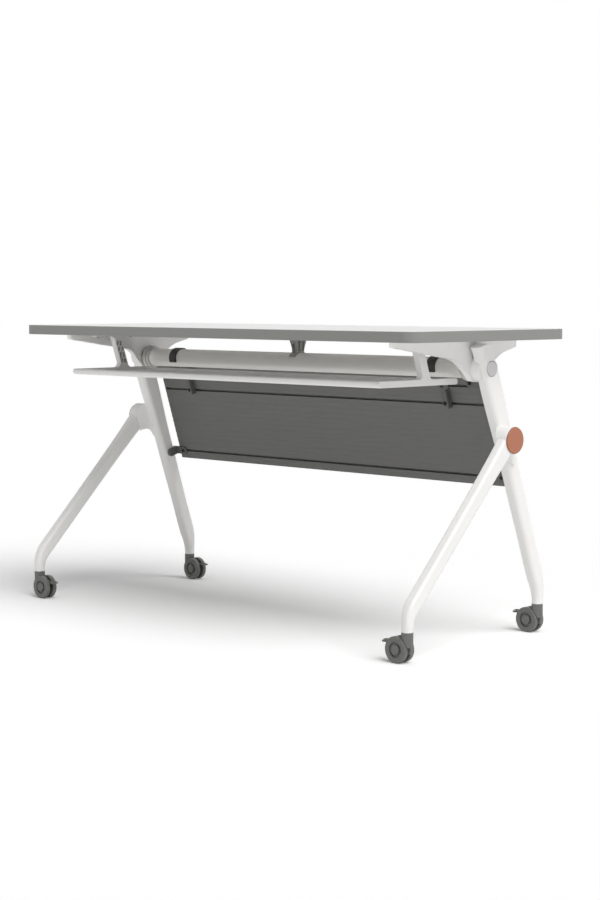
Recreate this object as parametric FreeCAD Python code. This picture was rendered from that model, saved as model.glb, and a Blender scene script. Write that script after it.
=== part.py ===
import FreeCAD, Part
import math
import os

# Flip-top training table on casters. Millimetres, +Z up.
# The origin is on the floor under the middle of the top.
# +X runs along the top to the right, +Y points away from the user.

Vec = FreeCAD.Vector

# General clearances
CUT_OVERRUN = 5.0
RUN_GAP = 0.05
FACE_GAP = 0.3
SCREW_GAP = 0.05

# Table top and its edging
TOP_LENGTH = 1410.0
TOP_DEPTH = 570.0
TOP_HEIGHT = 750.0
TOP_THICKNESS = 25.0
TOP_CORNER_RADIUS = 32.0
BAND_THICKNESS = 2.0
BAND_CHAMFER = 1.0

# Axis on which the top flips, below the top and behind its middle
FLIP_AXIS_DROP = 68.0
FLIP_AXIS_Y = 68.0
SWEEP_GAP = 0.7

# Crossbeam
BEAM_RADIUS = 24.5
BEAM_WALL = 2.5
BEAM_SOCKET_DEPTH = 17.0
BEAM_END_GAP = 0.5

# Long legs, from the flip axis down to the rear casters
REAR_FOOT_X_INSET = 65.0
REAR_FOOT_Y_INSET = 24.5
LEG_FOOT_Z = 72.0
LEG_TOP_GAP = 9.0
LEG_LEAN = 12.0
LEG_LINE_OFFSET = 2.0
LEG_KNEE_Z = 111.0
LEG_KNEE_RADIUS = 150.0
LEG_TOP_WIDTH = 52.0
LEG_KNEE_WIDTH = 37.0
LEG_TOP_THICKNESS = 36.0
LEG_KNEE_THICKNESS = 30.0
FOOT_DIAMETER = 26.5
LEG_WIDTH_SHARES = (1.0, 1.0, 0.93, 0.45, 0.28, 0.19, 0.09, 0.0)
BEND_SHARES = (0.0, 0.25, 0.5, 0.75, 1.0)
LEG_CORNER_SHARE = 0.33
FOOT_CORNER_SHARE = 0.46
LEG_BOSS_RADIUS = 31.0
LEG_BOSS_HEIGHT = 6.0

# Front legs, bolted outside the long legs
FRONT_FOOT_X_INSET = 30.0
FRONT_FOOT_Y_INSET = 20.5
JOINT_HEIGHT_SHARE = 0.6886
JOINT_FORWARD = 24.4
FRONT_LEG_LEAN = 3.0
FRONT_LEG_KNEE_Z = 112.0
FRONT_LEG_KNEE_RADIUS = 70.0
FRONT_LEG_TOP_WIDTH = 50.0
FRONT_LEG_KNEE_WIDTH = 34.5
FRONT_LEG_THICKNESS = 28.0
FRONT_WIDTH_SHARES = (1.0, 0.33, 0.14, 0.06, 0.03, 0.0)
FRONT_LEG_RAISE = 4.0
FRONT_CORNER_SHARE = 0.28
JOINT_BOSS_RADIUS = 33.5
JOINT_BOSS_CHAMFER = 2.0
JOINT_BOSS_PROUD = 0.8
JOINT_SEAT_GAP = 2.0
CROTCH_RADIUS = 33.0
CROTCH_BURY = 5.0

# Bolt and orange cap of the leg joint
BOLT_RADIUS = 6.0
BOLT_HEAD_RADIUS = 10.0
BOLT_HEAD_HEIGHT = 8.0
BOLT_GRIP = 10.0
BOLT_COUNTERBORE_DEPTH = 12.0
CAP_RADIUS = 31.5
CAP_THICKNESS = 3.0
CAP_CHAMFER = 1.0
CAP_SPIGOT_LENGTH = 3.0

# Flip brackets under the top
HUB_RADIUS = 33.0
HUB_THICKNESS = 13.7
ARM_THICKNESS = 19.0
ARM_STEP = 7.0
ARM_FRONT_REACH = 293.0
ARM_REAR_REACH = 150.0
ARM_FRONT_HEIGHT = 13.0
ARM_REAR_HEIGHT = 18.0
ARM_SHOULDER_REACH = 74.0
ARM_SHOULDER_HEIGHT = 46.0
ARM_SHOULDER_RADIUS = 60.0
ARM_END_RADIUS = 8.0
ARM_SWEEP_RADIUS = 60.0
REAR_CURVE_RADIUS = 120.0
REAR_CURVE_REACH = 92.0
REAR_CURVE_HEIGHT = 32.0
PLAN_END_RADIUS = 6.0
PLAN_INNER_STEP_SHARES = (0.28, 0.15)
PLAN_OUTER_STEP_SHARES = (0.31, 0.13)
HUB_CHIN_SHARES = (0.71, 0.89)
HUB_CHIN_RADIUS = 14.0
BUSH_WALL = 2.5
BUSH_FLANGE_THICKNESS = 1.7
BUSH_FLANGE_RADIUS = 31.0

# Release button, push rod, lock collar and spring on the flip axis
BUTTON_RADIUS = 18.0
BUTTON_THICKNESS = 6.0
BUTTON_PROUD = 1.0
BUTTON_CHAMFER = 1.0
BUTTON_WALL = 4.0
BUTTON_TRAVEL = 4.0
BUTTON_SIDE_GAP = 1.2
BUTTON_FLOOR_GAP = 0.5
ROD_RADIUS = 6.0
ROD_INNER_OVERHANG = 12.0
COLLAR_RADIUS = 32.0
COLLAR_LENGTH = 13.0
COLLAR_STEP_RADIUS = 29.0
COLLAR_STEP_LENGTH = 9.0
COLLAR_CHAMFER = 1.5
PIN_RADIUS = 3.0
PIN_END_INSET = 2.0
SPRING_LENGTH = 28.0
SPRING_COIL_RADIUS = 9.0
SPRING_WIRE_RADIUS = 1.1
SPRING_TURNS = 5
SEAT_THICKNESS = 8.0

# Saddle in the middle of the beam
SADDLE_THICKNESS = 20.0
SADDLE_TOP_WIDTH = 52.0
SADDLE_WAIST_WIDTH = 25.0
SADDLE_WAIST_DROP = 34.0
SADDLE_SIDE_RADIUS = 40.0
SADDLE_WALL = 4.0
SADDLE_WRAP_DEG = 58.0
SADDLE_RIB = 4.0
SADDLE_POCKET_DEPTH = 4.0
SADDLE_FLANGE = 5.0

# Basket under the top
BASKET_END_THICKNESS = 18.0
BASKET_END_INSET = 20.0
BASKET_FRONT_INSET = 51.0
BASKET_REAR_Y = 48.0
BASKET_DROP = 92.0
BASKET_BAR_HEIGHT = 15.0
BASKET_BAR_END_RADIUS = 7.0
STEM_WIDTH = 24.0
STEM_FOOT_SHIFT = 170.0
STEM_LEAN = 28.0
STEM_FILLET = 12.0
HANGER_FLANGE_FRONT = 76.0
HANGER_FLANGE_REAR = 66.0
HANGER_FLANGE_HEIGHT = 7.0
POCKET_DEPTH = 11.0
STEM_POCKET_WIDTH = 7.0
STEM_POCKET_HEIGHT = 13.0
STEM_POCKET_GAP = 3.0
STEM_POCKET_ROWS = 4
FLANGE_POCKET_LENGTH = 13.0
FLANGE_POCKET_HEIGHT = 3.5
FLANGE_POCKET_PITCH = 17.0
FLANGE_POCKETS_PER_SIDE = 3
TRAY_RAIL_DEPTH = 16.0
TRAY_RAIL_RADIUS = 6.0
TRAY_FLOOR_THICKNESS = 2.5
TRAY_REAR_GAP = 26.0
TRAY_REAR_RAIL_DEPTH = 12.0
TRAY_REAR_RAIL_HEIGHT = 13.0
TRAY_REAR_RAIL_RADIUS = 4.0
TRAY_BEAD_RADIUS = 3.0
TRAY_BEAD_SHARES = (0.25, 0.5, 0.75)

# Modesty panel, measured along its own slope from its lower edge
PANEL_HALF_LENGTH_INSET = 40.0
PANEL_LEG_ANGLE_DEG = 1.73
PANEL_AXIS_GAP = 35.5
PANEL_TOP_DROP = 42.0
PANEL_HEIGHT = 277.5
PANEL_THICKNESS = 12.0
PANEL_SLOT_HEIGHT = 6.4
PANEL_SLOT_DEPTH = 9.0
PANEL_SLOT_HEIGHTS = (24.0, 212.0, 259.0)
PANEL_RIB_PITCH = 15.0
PANEL_RIB_DEPTH = 0.7
PANEL_RIB_WIDTH_SHARE = 0.45
PANEL_EDGE_MARGIN = 4.0

# Hooks and hanger bars between the beam and the panel
HOOK_REF_INSET = 130.0
HOOK_OFFSET = 6.0
HOOK_WIDTH = 26.0
HOOK_WALL = 3.5
HOOK_GAP = 0.1
HOOK_FRONT_DEG = 205.0
HOOK_REAR_DEG = -20.0
HOOK_TAIL_LENGTH = 26.0
HANGER_OFFSET = 16.0
HANGER_WIDTH = 28.0
HANGER_THICKNESS = 3.0
HANGER_FOOT_MARGIN = 9.0
HANGER_TOP_MARGIN = 20.0
HANGER_WEB_DEPTH = 12.0
HANGER_WEB_WIDTH = 4.0
HANGER_TAB_HEIGHT = 22.0
HANGER_END_RADIUS = 8.0
HANGER_BOLT_INSET = 8.0

# Brackets between the legs and the panel
BRACKET_HEIGHT = 22.0
BRACKET_THICKNESS = 4.0
BRACKET_PAD_DEPTH = 34.0
BRACKET_PAD_THICKNESS = 7.0
BRACKET_PAD_RADIUS = 9.0
BRACKET_LEG_OVERLAP = 6.0
BRACKET_TIP_MARGIN = 12.0
UPPER_BOLT_X_INSET = 60.0
UPPER_BOLT_DROP = 9.0
LOWER_BOLT_X_INSET = 17.0

# Screws
PANEL_SCREW_RADIUS = 2.9
PANEL_SCREW_HEAD_RADIUS = 5.0
PANEL_SCREW_HEAD_HEIGHT = 3.5
PANEL_SCREW_LENGTH = 9.0
TOP_SCREW_RADIUS = 2.5
TOP_SCREW_HEAD_RADIUS = 4.8
TOP_SCREW_HEAD_HEIGHT = 3.0
TOP_SCREW_GRIP = 6.0
TOP_SCREW_BITE = 14.0
SOCKET_RADIUS = 2.0
SOCKET_DEPTH = 1.8
ARM_SCREW_SHARES = (-0.92, -0.62, 0.66, 0.93)
FLANGE_SCREW_SHARES = (-0.82, 0.82)
SADDLE_SCREW_SHARES = (-0.5, 0.5)

# Casters: stem at the leg end, wheels behind the stem by the trail
CASTER_TRAIL = 23.0
WHEEL_RADIUS = 31.0
WHEEL_WIDTH = 12.0
WHEEL_INNER_Y = 5.0
WHEEL_EDGE = 1.6
WHEEL_HUB_RADIUS = 11.5
WHEEL_HUB_PROUD = 1.0
WHEEL_GROOVE_RADIUS = 18.5
WHEEL_GROOVE_DEPTH = 5.0
WHEEL_RIM_RADIUS = 24.0
WHEEL_RIM_DISH = 0.8
WHEEL_CAP_WALL = 2.0
AXLE_RADIUS = 3.0
AXLE_END_GAP = 0.3
STEM_RADIUS = 5.5
STEM_IN_LEG = 34.0
STEM_IN_HOUSING = 16.0
NECK_RADIUS = 14.0
NECK_LOW_Z = 38.0
WHEEL_ARCH_GAP = 1.3
FORK_THICKNESS = 9.0
FORK_LOW_Z = 22.0
FORK_FRONT_RADIUS = 9.0
FORK_BOSS_RADIUS = 11.0
LUG_RADIUS = 4.5
LUG_REACH = 12.0
LUG_HEIGHT = 14.0
LUG_THICKNESS = 2.6
LUG_GAP = 0.3
PEDAL_PIN_RADIUS = 1.5
PEDAL_CHEEK_RADIUS = 4.2
PEDAL_ARM_HEIGHT = 5.0
PEDAL_ARM_REACH = 24.0
PEDAL_PAD_START = 22.5
PEDAL_PAD_HALF_WIDTH = 10.0
PEDAL_PAD_LENGTH = 13.0
PEDAL_PAD_THICKNESS = 3.5
PEDAL_PAD_RISE = 2.0
PEDAL_PAD_RADIUS = 4.0

# Places worked out from the sizes above
TOP_UNDER_Z = TOP_HEIGHT - TOP_THICKNESS
AXIS_Y = FLIP_AXIS_Y
AXIS_Z = TOP_UNDER_Z - FLIP_AXIS_DROP
REAR_FOOT_X = TOP_LENGTH / 2 - REAR_FOOT_X_INSET
REAR_FOOT_Y = TOP_DEPTH / 2 - REAR_FOOT_Y_INSET
FRONT_FOOT_X = TOP_LENGTH / 2 - FRONT_FOOT_X_INSET
FRONT_FOOT_Y = -(TOP_DEPTH / 2 - FRONT_FOOT_Y_INSET)
LEG_AXIS_X = REAR_FOOT_X - LEG_LEAN
LEG_INNER_X = LEG_AXIS_X - LEG_TOP_THICKNESS / 2
LEG_OUTER_X = LEG_AXIS_X + LEG_TOP_THICKNESS / 2
LEG_BOSS_X = LEG_INNER_X - LEG_BOSS_HEIGHT
BEAM_END_X = LEG_BOSS_X + BEAM_SOCKET_DEPTH
HUB_OUTER_X = LEG_BOSS_X - FACE_GAP
HUB_INNER_X = HUB_OUTER_X - HUB_THICKNESS
ARM_OUTER_X = HUB_OUTER_X - ARM_STEP
ARM_INNER_X = ARM_OUTER_X - ARM_THICKNESS
BUSH_FACE_X = HUB_INNER_X - BUSH_FLANGE_THICKNESS
COLLAR_OUTER_X = BUSH_FACE_X - FACE_GAP
COLLAR_INNER_X = COLLAR_OUTER_X - COLLAR_LENGTH
PIN_X = COLLAR_OUTER_X - COLLAR_LENGTH / 2
ROD_INNER_X = PIN_X - PIN_RADIUS - ROD_INNER_OVERHANG
SEAT_OUTER_X = ROD_INNER_X - SPRING_LENGTH
BUTTON_OUTER_X = LEG_OUTER_X + BUTTON_PROUD
BUTTON_INNER_X = BUTTON_OUTER_X - BUTTON_THICKNESS
BUTTON_FLOOR_X = BUTTON_INNER_X - BUTTON_TRAVEL - BUTTON_FLOOR_GAP
JOINT_INNER_X = FRONT_FOOT_X - FRONT_LEG_LEAN - FRONT_LEG_THICKNESS / 2 - JOINT_SEAT_GAP
JOINT_OUTER_X = FRONT_FOOT_X - FRONT_LEG_LEAN + FRONT_LEG_THICKNESS / 2 + JOINT_BOSS_PROUD
BASKET_OUTER_X = ARM_INNER_X - BASKET_END_INSET
BASKET_INNER_X = BASKET_OUTER_X - BASKET_END_THICKNESS
BASKET_FRONT_Y = -(TOP_DEPTH / 2 - BASKET_FRONT_INSET)
BASKET_TOP_Z = TOP_UNDER_Z - BASKET_DROP
BASKET_LOW_Z = BASKET_TOP_Z - BASKET_BAR_HEIGHT
PANEL_HALF_LENGTH = REAR_FOOT_X - PANEL_HALF_LENGTH_INSET
HOOK_REF_X = PANEL_HALF_LENGTH - HOOK_REF_INSET
LEG_SLOPE = (REAR_FOOT_Y - AXIS_Y - LEG_LINE_OFFSET) / (AXIS_Z - LEG_KNEE_Z)
JOINT_Z = LEG_KNEE_Z + (AXIS_Z - LEG_KNEE_Z) * JOINT_HEIGHT_SHARE
JOINT_Y = REAR_FOOT_Y - LEG_SLOPE * (JOINT_Z - LEG_KNEE_Z) - JOINT_FORWARD
PANEL_TILT_DEG = math.degrees(math.atan(LEG_SLOPE)) - PANEL_LEG_ANGLE_DEG


def export(node, shape):
    """Write one sub-part, checked as whole solids, to its own file."""
    if not shape.isValid() or not shape.Solids:
        raise ValueError("bad solid in " + node)
    shape.exportStep("parts/" + node + ".step")


def joined(shapes):
    """Fuse a list of solids into one clean solid."""
    return shapes[0].fuse(shapes[1:]).removeSplitter()


def box(x_range, y_range, z_range):
    """A box between two limits on each axis."""
    size = [high - low for low, high in (x_range, y_range, z_range)]
    return Part.makeBox(size[0], size[1], size[2], Vec(x_range[0], y_range[0], z_range[0]))


def rod_x(radius, x_low, x_high, y, z):
    """A cylinder along X."""
    return Part.makeCylinder(radius, x_high - x_low, Vec(x_low, y, z), Vec(1, 0, 0))


def rod_y(radius, y_low, y_high, x, z):
    """A cylinder along Y."""
    return Part.makeCylinder(radius, y_high - y_low, Vec(x, y_low, z), Vec(0, 1, 0))


def rod_z(radius, z_low, z_high, x, y):
    """A cylinder along Z."""
    return Part.makeCylinder(radius, z_high - z_low, Vec(x, y, z_low), Vec(0, 0, 1))


def rounded_wire(corners, place):
    """A closed wire through corners (a, b, radius), each rounded by its radius."""
    points = [Vec(a, b, 0) for a, b, radius in corners]
    stops = []
    for i, corner in enumerate(corners):
        here = points[i]
        back = (points[i - 1] - here).normalize()
        ahead = (points[(i + 1) % len(points)] - here).normalize()
        half = back.getAngle(ahead) / 2
        reach = corner[2] / math.tan(half)
        start = here + back * reach
        end = here + ahead * reach
        middle = here + ((start + end) * 0.5 - here) * (1 / (1 + math.sin(half)))
        stops.append((start, middle, end, corner[2]))
    edges = []
    for i, (start, middle, end, radius) in enumerate(stops):
        before = stops[i - 1][2]
        if before.distanceToPoint(start) > RUN_GAP:
            edges.append(Part.LineSegment(place(before), place(start)).toShape())
        if radius > 0:
            edges.append(Part.Arc(place(start), place(middle), place(end)).toShape())
    return Part.Wire(edges)


def slab_x(corners, x_low, x_high):
    """An outline (y, z, radius) drawn across X and made thick along X."""
    wire = rounded_wire(corners, lambda p: Vec(x_low, p.x, p.y))
    return Part.Face(wire).extrude(Vec(x_high - x_low, 0, 0))


def slab_z(corners, z_low, z_high):
    """An outline (x, y, radius) drawn across Z and made thick along Z."""
    wire = rounded_wire(corners, lambda p: Vec(p.x, p.y, z_low))
    return Part.Face(wire).extrude(Vec(0, 0, z_high - z_low))


def slab_y(corners, y_low, y_high):
    """An outline (x, z, radius) drawn across Y and made thick along Y."""
    wire = rounded_wire(corners, lambda p: Vec(p.x, y_low, p.y))
    return Part.Face(wire).extrude(Vec(0, y_high - y_low, 0))


def turned(profile, base, axis):
    """Turn a profile of (along, radius) points about an axis through base."""
    side = Vec(0, 0, 1)
    points = [base + axis * along + side * radius for along, radius in profile]
    face = Part.Face(Part.makePolygon(points + points[:1]))
    return face.revolve(base, axis, 360)


def mirrored(shape):
    """The same piece for the other end of the table."""
    return shape.mirror(Vec(0, 0, 0), Vec(1, 0, 0))


def both_ends(name, shape):
    """Write the right-hand piece and its mirror image."""
    export(name + "_right", shape)
    export(name + "_left", mirrored(shape))


def top_outline(inset):
    """The top's outline, moved inwards by an inset."""
    x = TOP_LENGTH / 2 - inset
    y = TOP_DEPTH / 2 - inset
    r = TOP_CORNER_RADIUS - inset
    return [(-x, -y, r), (x, -y, r), (x, y, r), (-x, y, r)]


def leg_section(centre, along, width, thickness, corner):
    """A rounded section across a leg: width in the leg's plane, thickness along X."""
    side = Vec(1, 0, 0)
    across = along.cross(side).normalize()
    a = thickness / 2
    b = width / 2
    corners = [(-a, -b, corner), (a, -b, corner), (a, b, corner), (-a, b, corner)]
    return rounded_wire(corners, lambda p: centre + side * p.x + across * p.y)


def leg_loft(path, knee_radius, x_of, widths, thickness_pair, corner_share):
    """A leg down a path of start, knee and foot points: a straight run, then a bend to a round end.

    x_of gives the lean at a height; widths and the thickness pair give the straight run's sections.
    """
    start, knee, foot = path
    run = (knee - start).normalize()
    down = (foot - knee).normalize()
    turn = run.getAngle(down)
    bend_start = knee - run * (knee_radius * math.tan(turn / 2))

    def section(point, along, width, thickness, share):
        centre = Vec(x_of(point.z), point.y, point.z)
        return leg_section(centre, along, width, thickness, min(width, thickness) * share)

    straight = []
    for i, width in enumerate(widths):
        share = i / (len(widths) - 1)
        thickness = thickness_pair[0] + (thickness_pair[1] - thickness_pair[0]) * share
        straight.append(section(start + (bend_start - start) * share, run, width, thickness, corner_share))

    inward = (down - run * run.dot(down)).normalize()
    centre = bend_start + inward * knee_radius
    bend = []
    for share in BEND_SHARES:
        angle = turn * share
        reach = run * (knee_radius * math.sin(angle)) - inward * (knee_radius * math.cos(angle))
        width = widths[-1] + (FOOT_DIAMETER - widths[-1]) * share
        thickness = thickness_pair[1] + (FOOT_DIAMETER - thickness_pair[1]) * share
        corner = corner_share + (FOOT_CORNER_SHARE - corner_share) * share
        along = run * math.cos(angle) + inward * math.sin(angle)
        bend.append(section(centre + reach, along, width, thickness, corner))
    bend.append(section(foot, down, FOOT_DIAMETER, FOOT_DIAMETER, FOOT_CORNER_SHARE))
    upper = Part.makeLoft(straight, True, False)
    lower = Part.makeLoft(bend, True, False)
    return joined([upper, lower])


def long_leg_line(z):
    """The long leg's middle line: how far back it is at a height."""
    return REAR_FOOT_Y - LEG_SLOPE * (z - LEG_KNEE_Z)


def long_leg_x(z):
    """The long leg's middle plane, which leans inwards towards its top."""
    share = (z - LEG_KNEE_Z) / (AXIS_Z - LEG_KNEE_Z)
    return REAR_FOOT_X - LEG_LEAN * max(share, 0)


def front_leg_x(z):
    """The front leg's middle plane."""
    share = (z - FRONT_LEG_KNEE_Z) / (JOINT_Z - FRONT_LEG_KNEE_Z)
    return FRONT_FOOT_X - FRONT_LEG_LEAN * max(share, 0)


def crotch_web():
    """The web of the leg joint: a wedge from the long leg out to the front leg, arched below."""
    run_front = Vec(0, FRONT_FOOT_Y - JOINT_Y, FRONT_LEG_KNEE_Z - JOINT_Z).normalize()
    run_long = Vec(0, LEG_SLOPE, -1).normalize()
    half = run_front.getAngle(run_long) / 2
    joint = Vec(0, JOINT_Y, JOINT_Z)
    leg_point = Vec(0, long_leg_line(JOINT_Z), JOINT_Z)
    lower_edge = joint + Vec(0, -run_front.z, run_front.y) * (FRONT_LEG_KNEE_WIDTH / 2)
    front_edge = leg_point + Vec(0, run_long.z, -run_long.y) * (LEG_KNEE_WIDTH / 2 - CROTCH_BURY)
    gap = front_edge - lower_edge
    cross = run_front.y * run_long.z - run_front.z * run_long.y
    reach = (gap.y * run_long.z - gap.z * run_long.y) / cross
    tip = lower_edge + run_front * reach
    arm = CROTCH_RADIUS / math.tan(half)
    bisector = (run_front + run_long).normalize()
    centre = tip + bisector * (CROTCH_RADIUS / math.sin(half))
    front_y = JOINT_Y - JOINT_BOSS_RADIUS
    left = tip + run_front * arm
    right = tip + run_long * arm
    corners = [
        (leg_point.y, JOINT_Z, 0),
        (front_y, JOINT_Z, 0),
        (left.y, left.z, 0),
        (centre.y, centre.z, 0),
        (right.y, right.z, 0),
        (long_leg_line(right.z), right.z, 0),
    ]
    inner_x = long_leg_x(JOINT_Z)
    web = joined([slab_x(corners, inner_x, JOINT_INNER_X),
                  rod_x(JOINT_BOSS_RADIUS, inner_x, JOINT_INNER_X, JOINT_Y, JOINT_Z)])
    base = [Vec(inner_x, leg_point.y, JOINT_Z), Vec(JOINT_INNER_X, leg_point.y, JOINT_Z),
            Vec(JOINT_INNER_X, front_y, JOINT_Z)]
    base = [point - run_long * TOP_HEIGHT for point in base]
    wedge = Part.Face(Part.makePolygon(base + base[:1])).extrude(run_long * TOP_HEIGHT * 2)
    arch = rod_x(CROTCH_RADIUS, inner_x - CUT_OVERRUN, JOINT_INNER_X + CUT_OVERRUN, centre.y, centre.z)
    return web.common(wedge).cut(arch)


def make_long_leg():
    """Long leg with its beam socket, button recess, joint pad and caster bore."""
    top_z = TOP_UNDER_Z - LEG_TOP_GAP
    start = Vec(0, long_leg_line(top_z), top_z)
    path = (start, Vec(0, REAR_FOOT_Y, LEG_KNEE_Z), Vec(0, REAR_FOOT_Y, LEG_FOOT_Z))
    widths = [LEG_KNEE_WIDTH + (LEG_TOP_WIDTH - LEG_KNEE_WIDTH) * s for s in LEG_WIDTH_SHARES]
    leg = leg_loft(path, LEG_KNEE_RADIUS, long_leg_x, widths, (LEG_TOP_THICKNESS, LEG_KNEE_THICKNESS),
                   LEG_CORNER_SHARE)
    x_span = (LEG_INNER_X - LEG_TOP_WIDTH, LEG_OUTER_X + LEG_TOP_WIDTH)
    y_span = (-TOP_DEPTH, TOP_DEPTH)
    below_axis = box(x_span, y_span, (0, AXIS_Z))
    sweep = rod_x(FLIP_AXIS_DROP - SWEEP_GAP, x_span[0], x_span[1], AXIS_Y, AXIS_Z)
    leg = leg.common(below_axis.fuse(sweep))
    leg = leg.cut(box(x_span, y_span, (top_z, TOP_HEIGHT)))
    boss = rod_x(LEG_BOSS_RADIUS, LEG_BOSS_X, LEG_AXIS_X, AXIS_Y, AXIS_Z)
    button_wall = rod_x(BUTTON_RADIUS + BUTTON_WALL, LEG_AXIS_X, LEG_OUTER_X, AXIS_Y, AXIS_Z)
    leg = joined([leg, boss, button_wall, crotch_web()])
    cuts = [
        rod_x(BEAM_RADIUS + RUN_GAP, LEG_BOSS_X - CUT_OVERRUN, BEAM_END_X + BEAM_END_GAP, AXIS_Y, AXIS_Z),
        rod_x(ROD_RADIUS + RUN_GAP, LEG_BOSS_X, LEG_OUTER_X, AXIS_Y, AXIS_Z),
        rod_x(BUTTON_RADIUS + BUTTON_SIDE_GAP, BUTTON_FLOOR_X, LEG_OUTER_X + CUT_OVERRUN, AXIS_Y, AXIS_Z),
        rod_x(BOLT_RADIUS + SCREW_GAP, JOINT_INNER_X - BOLT_GRIP, JOINT_INNER_X + CUT_OVERRUN,
              JOINT_Y, JOINT_Z),
        rod_z(STEM_RADIUS + RUN_GAP, LEG_FOOT_Z - CUT_OVERRUN, LEG_FOOT_Z + STEM_IN_LEG,
              REAR_FOOT_X, REAR_FOOT_Y),
    ]
    return leg.cut(cuts)


def make_front_leg():
    """Front leg with its round joint boss, bolt recess and caster bore."""
    joint = Vec(0, JOINT_Y, JOINT_Z)
    knee = Vec(0, FRONT_FOOT_Y, FRONT_LEG_KNEE_Z)
    run = (knee - joint).normalize()
    start = joint + Vec(0, run.z, -run.y) * FRONT_LEG_RAISE
    path = (start, knee, Vec(0, FRONT_FOOT_Y, LEG_FOOT_Z))
    span = FRONT_LEG_TOP_WIDTH - FRONT_LEG_KNEE_WIDTH
    widths = [FRONT_LEG_KNEE_WIDTH + span * s for s in FRONT_WIDTH_SHARES]
    leg = leg_loft(path, FRONT_LEG_KNEE_RADIUS, front_leg_x, widths,
                   (FRONT_LEG_THICKNESS, FRONT_LEG_THICKNESS), FRONT_CORNER_SHARE)
    depth = JOINT_OUTER_X - JOINT_INNER_X
    r = JOINT_BOSS_RADIUS
    c = JOINT_BOSS_CHAMFER
    profile = [(0, 0), (0, r), (depth - c, r), (depth, r - c), (depth, 0)]
    boss = turned(profile, Vec(JOINT_INNER_X, JOINT_Y, JOINT_Z), Vec(1, 0, 0))
    leg = joined([leg, boss])
    cuts = [
        rod_x(BOLT_RADIUS + SCREW_GAP, JOINT_INNER_X - CUT_OVERRUN, JOINT_OUTER_X, JOINT_Y, JOINT_Z),
        rod_x(BOLT_HEAD_RADIUS + SCREW_GAP, JOINT_OUTER_X - BOLT_COUNTERBORE_DEPTH,
              JOINT_OUTER_X + CUT_OVERRUN, JOINT_Y, JOINT_Z),
        rod_z(STEM_RADIUS + RUN_GAP, LEG_FOOT_Z - CUT_OVERRUN, LEG_FOOT_Z + STEM_IN_LEG,
              FRONT_FOOT_X, FRONT_FOOT_Y),
    ]
    return leg.cut(cuts)


def make_leg_bolt():
    """Bolt of the leg joint, with its head in the boss."""
    head_x = JOINT_OUTER_X - BOLT_COUNTERBORE_DEPTH
    shank = rod_x(BOLT_RADIUS, JOINT_INNER_X - BOLT_GRIP + BEAM_END_GAP, head_x, JOINT_Y, JOINT_Z)
    head = rod_x(BOLT_HEAD_RADIUS, head_x, head_x + BOLT_HEAD_HEIGHT, JOINT_Y, JOINT_Z)
    return joined([shank, head])


def make_joint_cap():
    """Round cap over the joint bolt, with a spigot in the bolt recess."""
    r = CAP_RADIUS
    t = CAP_THICKNESS
    s = CAP_SPIGOT_LENGTH
    profile = [(-s, 0), (-s, BOLT_HEAD_RADIUS), (0, BOLT_HEAD_RADIUS), (0, r), (t - CAP_CHAMFER, r),
               (t, r - CAP_CHAMFER), (t, 0)]
    return turned(profile, Vec(JOINT_OUTER_X, JOINT_Y, JOINT_Z), Vec(1, 0, 0))


def make_crossbeam():
    """Tube between the legs, slotted at both ends for the cross pins."""
    tube = rod_x(BEAM_RADIUS, -BEAM_END_X, BEAM_END_X, AXIS_Y, AXIS_Z)
    bore = rod_x(BEAM_RADIUS - BEAM_WALL, -BEAM_END_X - CUT_OVERRUN, BEAM_END_X + CUT_OVERRUN,
                 AXIS_Y, AXIS_Z)
    slot_x = (PIN_X - BUTTON_TRAVEL - PIN_RADIUS - FACE_GAP, PIN_X + PIN_RADIUS + FACE_GAP)
    half = PIN_RADIUS + FACE_GAP
    reach = BEAM_RADIUS + CUT_OVERRUN
    slot = box(slot_x, (AXIS_Y - half, AXIS_Y + half), (AXIS_Z - reach, AXIS_Z + reach))
    return tube.cut([bore, slot, mirrored(slot)])


def bracket_screws():
    """Places of the bracket's screws into the top."""
    places = []
    for share in ARM_SCREW_SHARES:
        if share < 0:
            places.append(((ARM_INNER_X + ARM_OUTER_X) / 2, AXIS_Y + ARM_FRONT_REACH * share))
        else:
            places.append(((HUB_INNER_X + HUB_OUTER_X) / 2, AXIS_Y + ARM_REAR_REACH * share))
    return places


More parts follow.
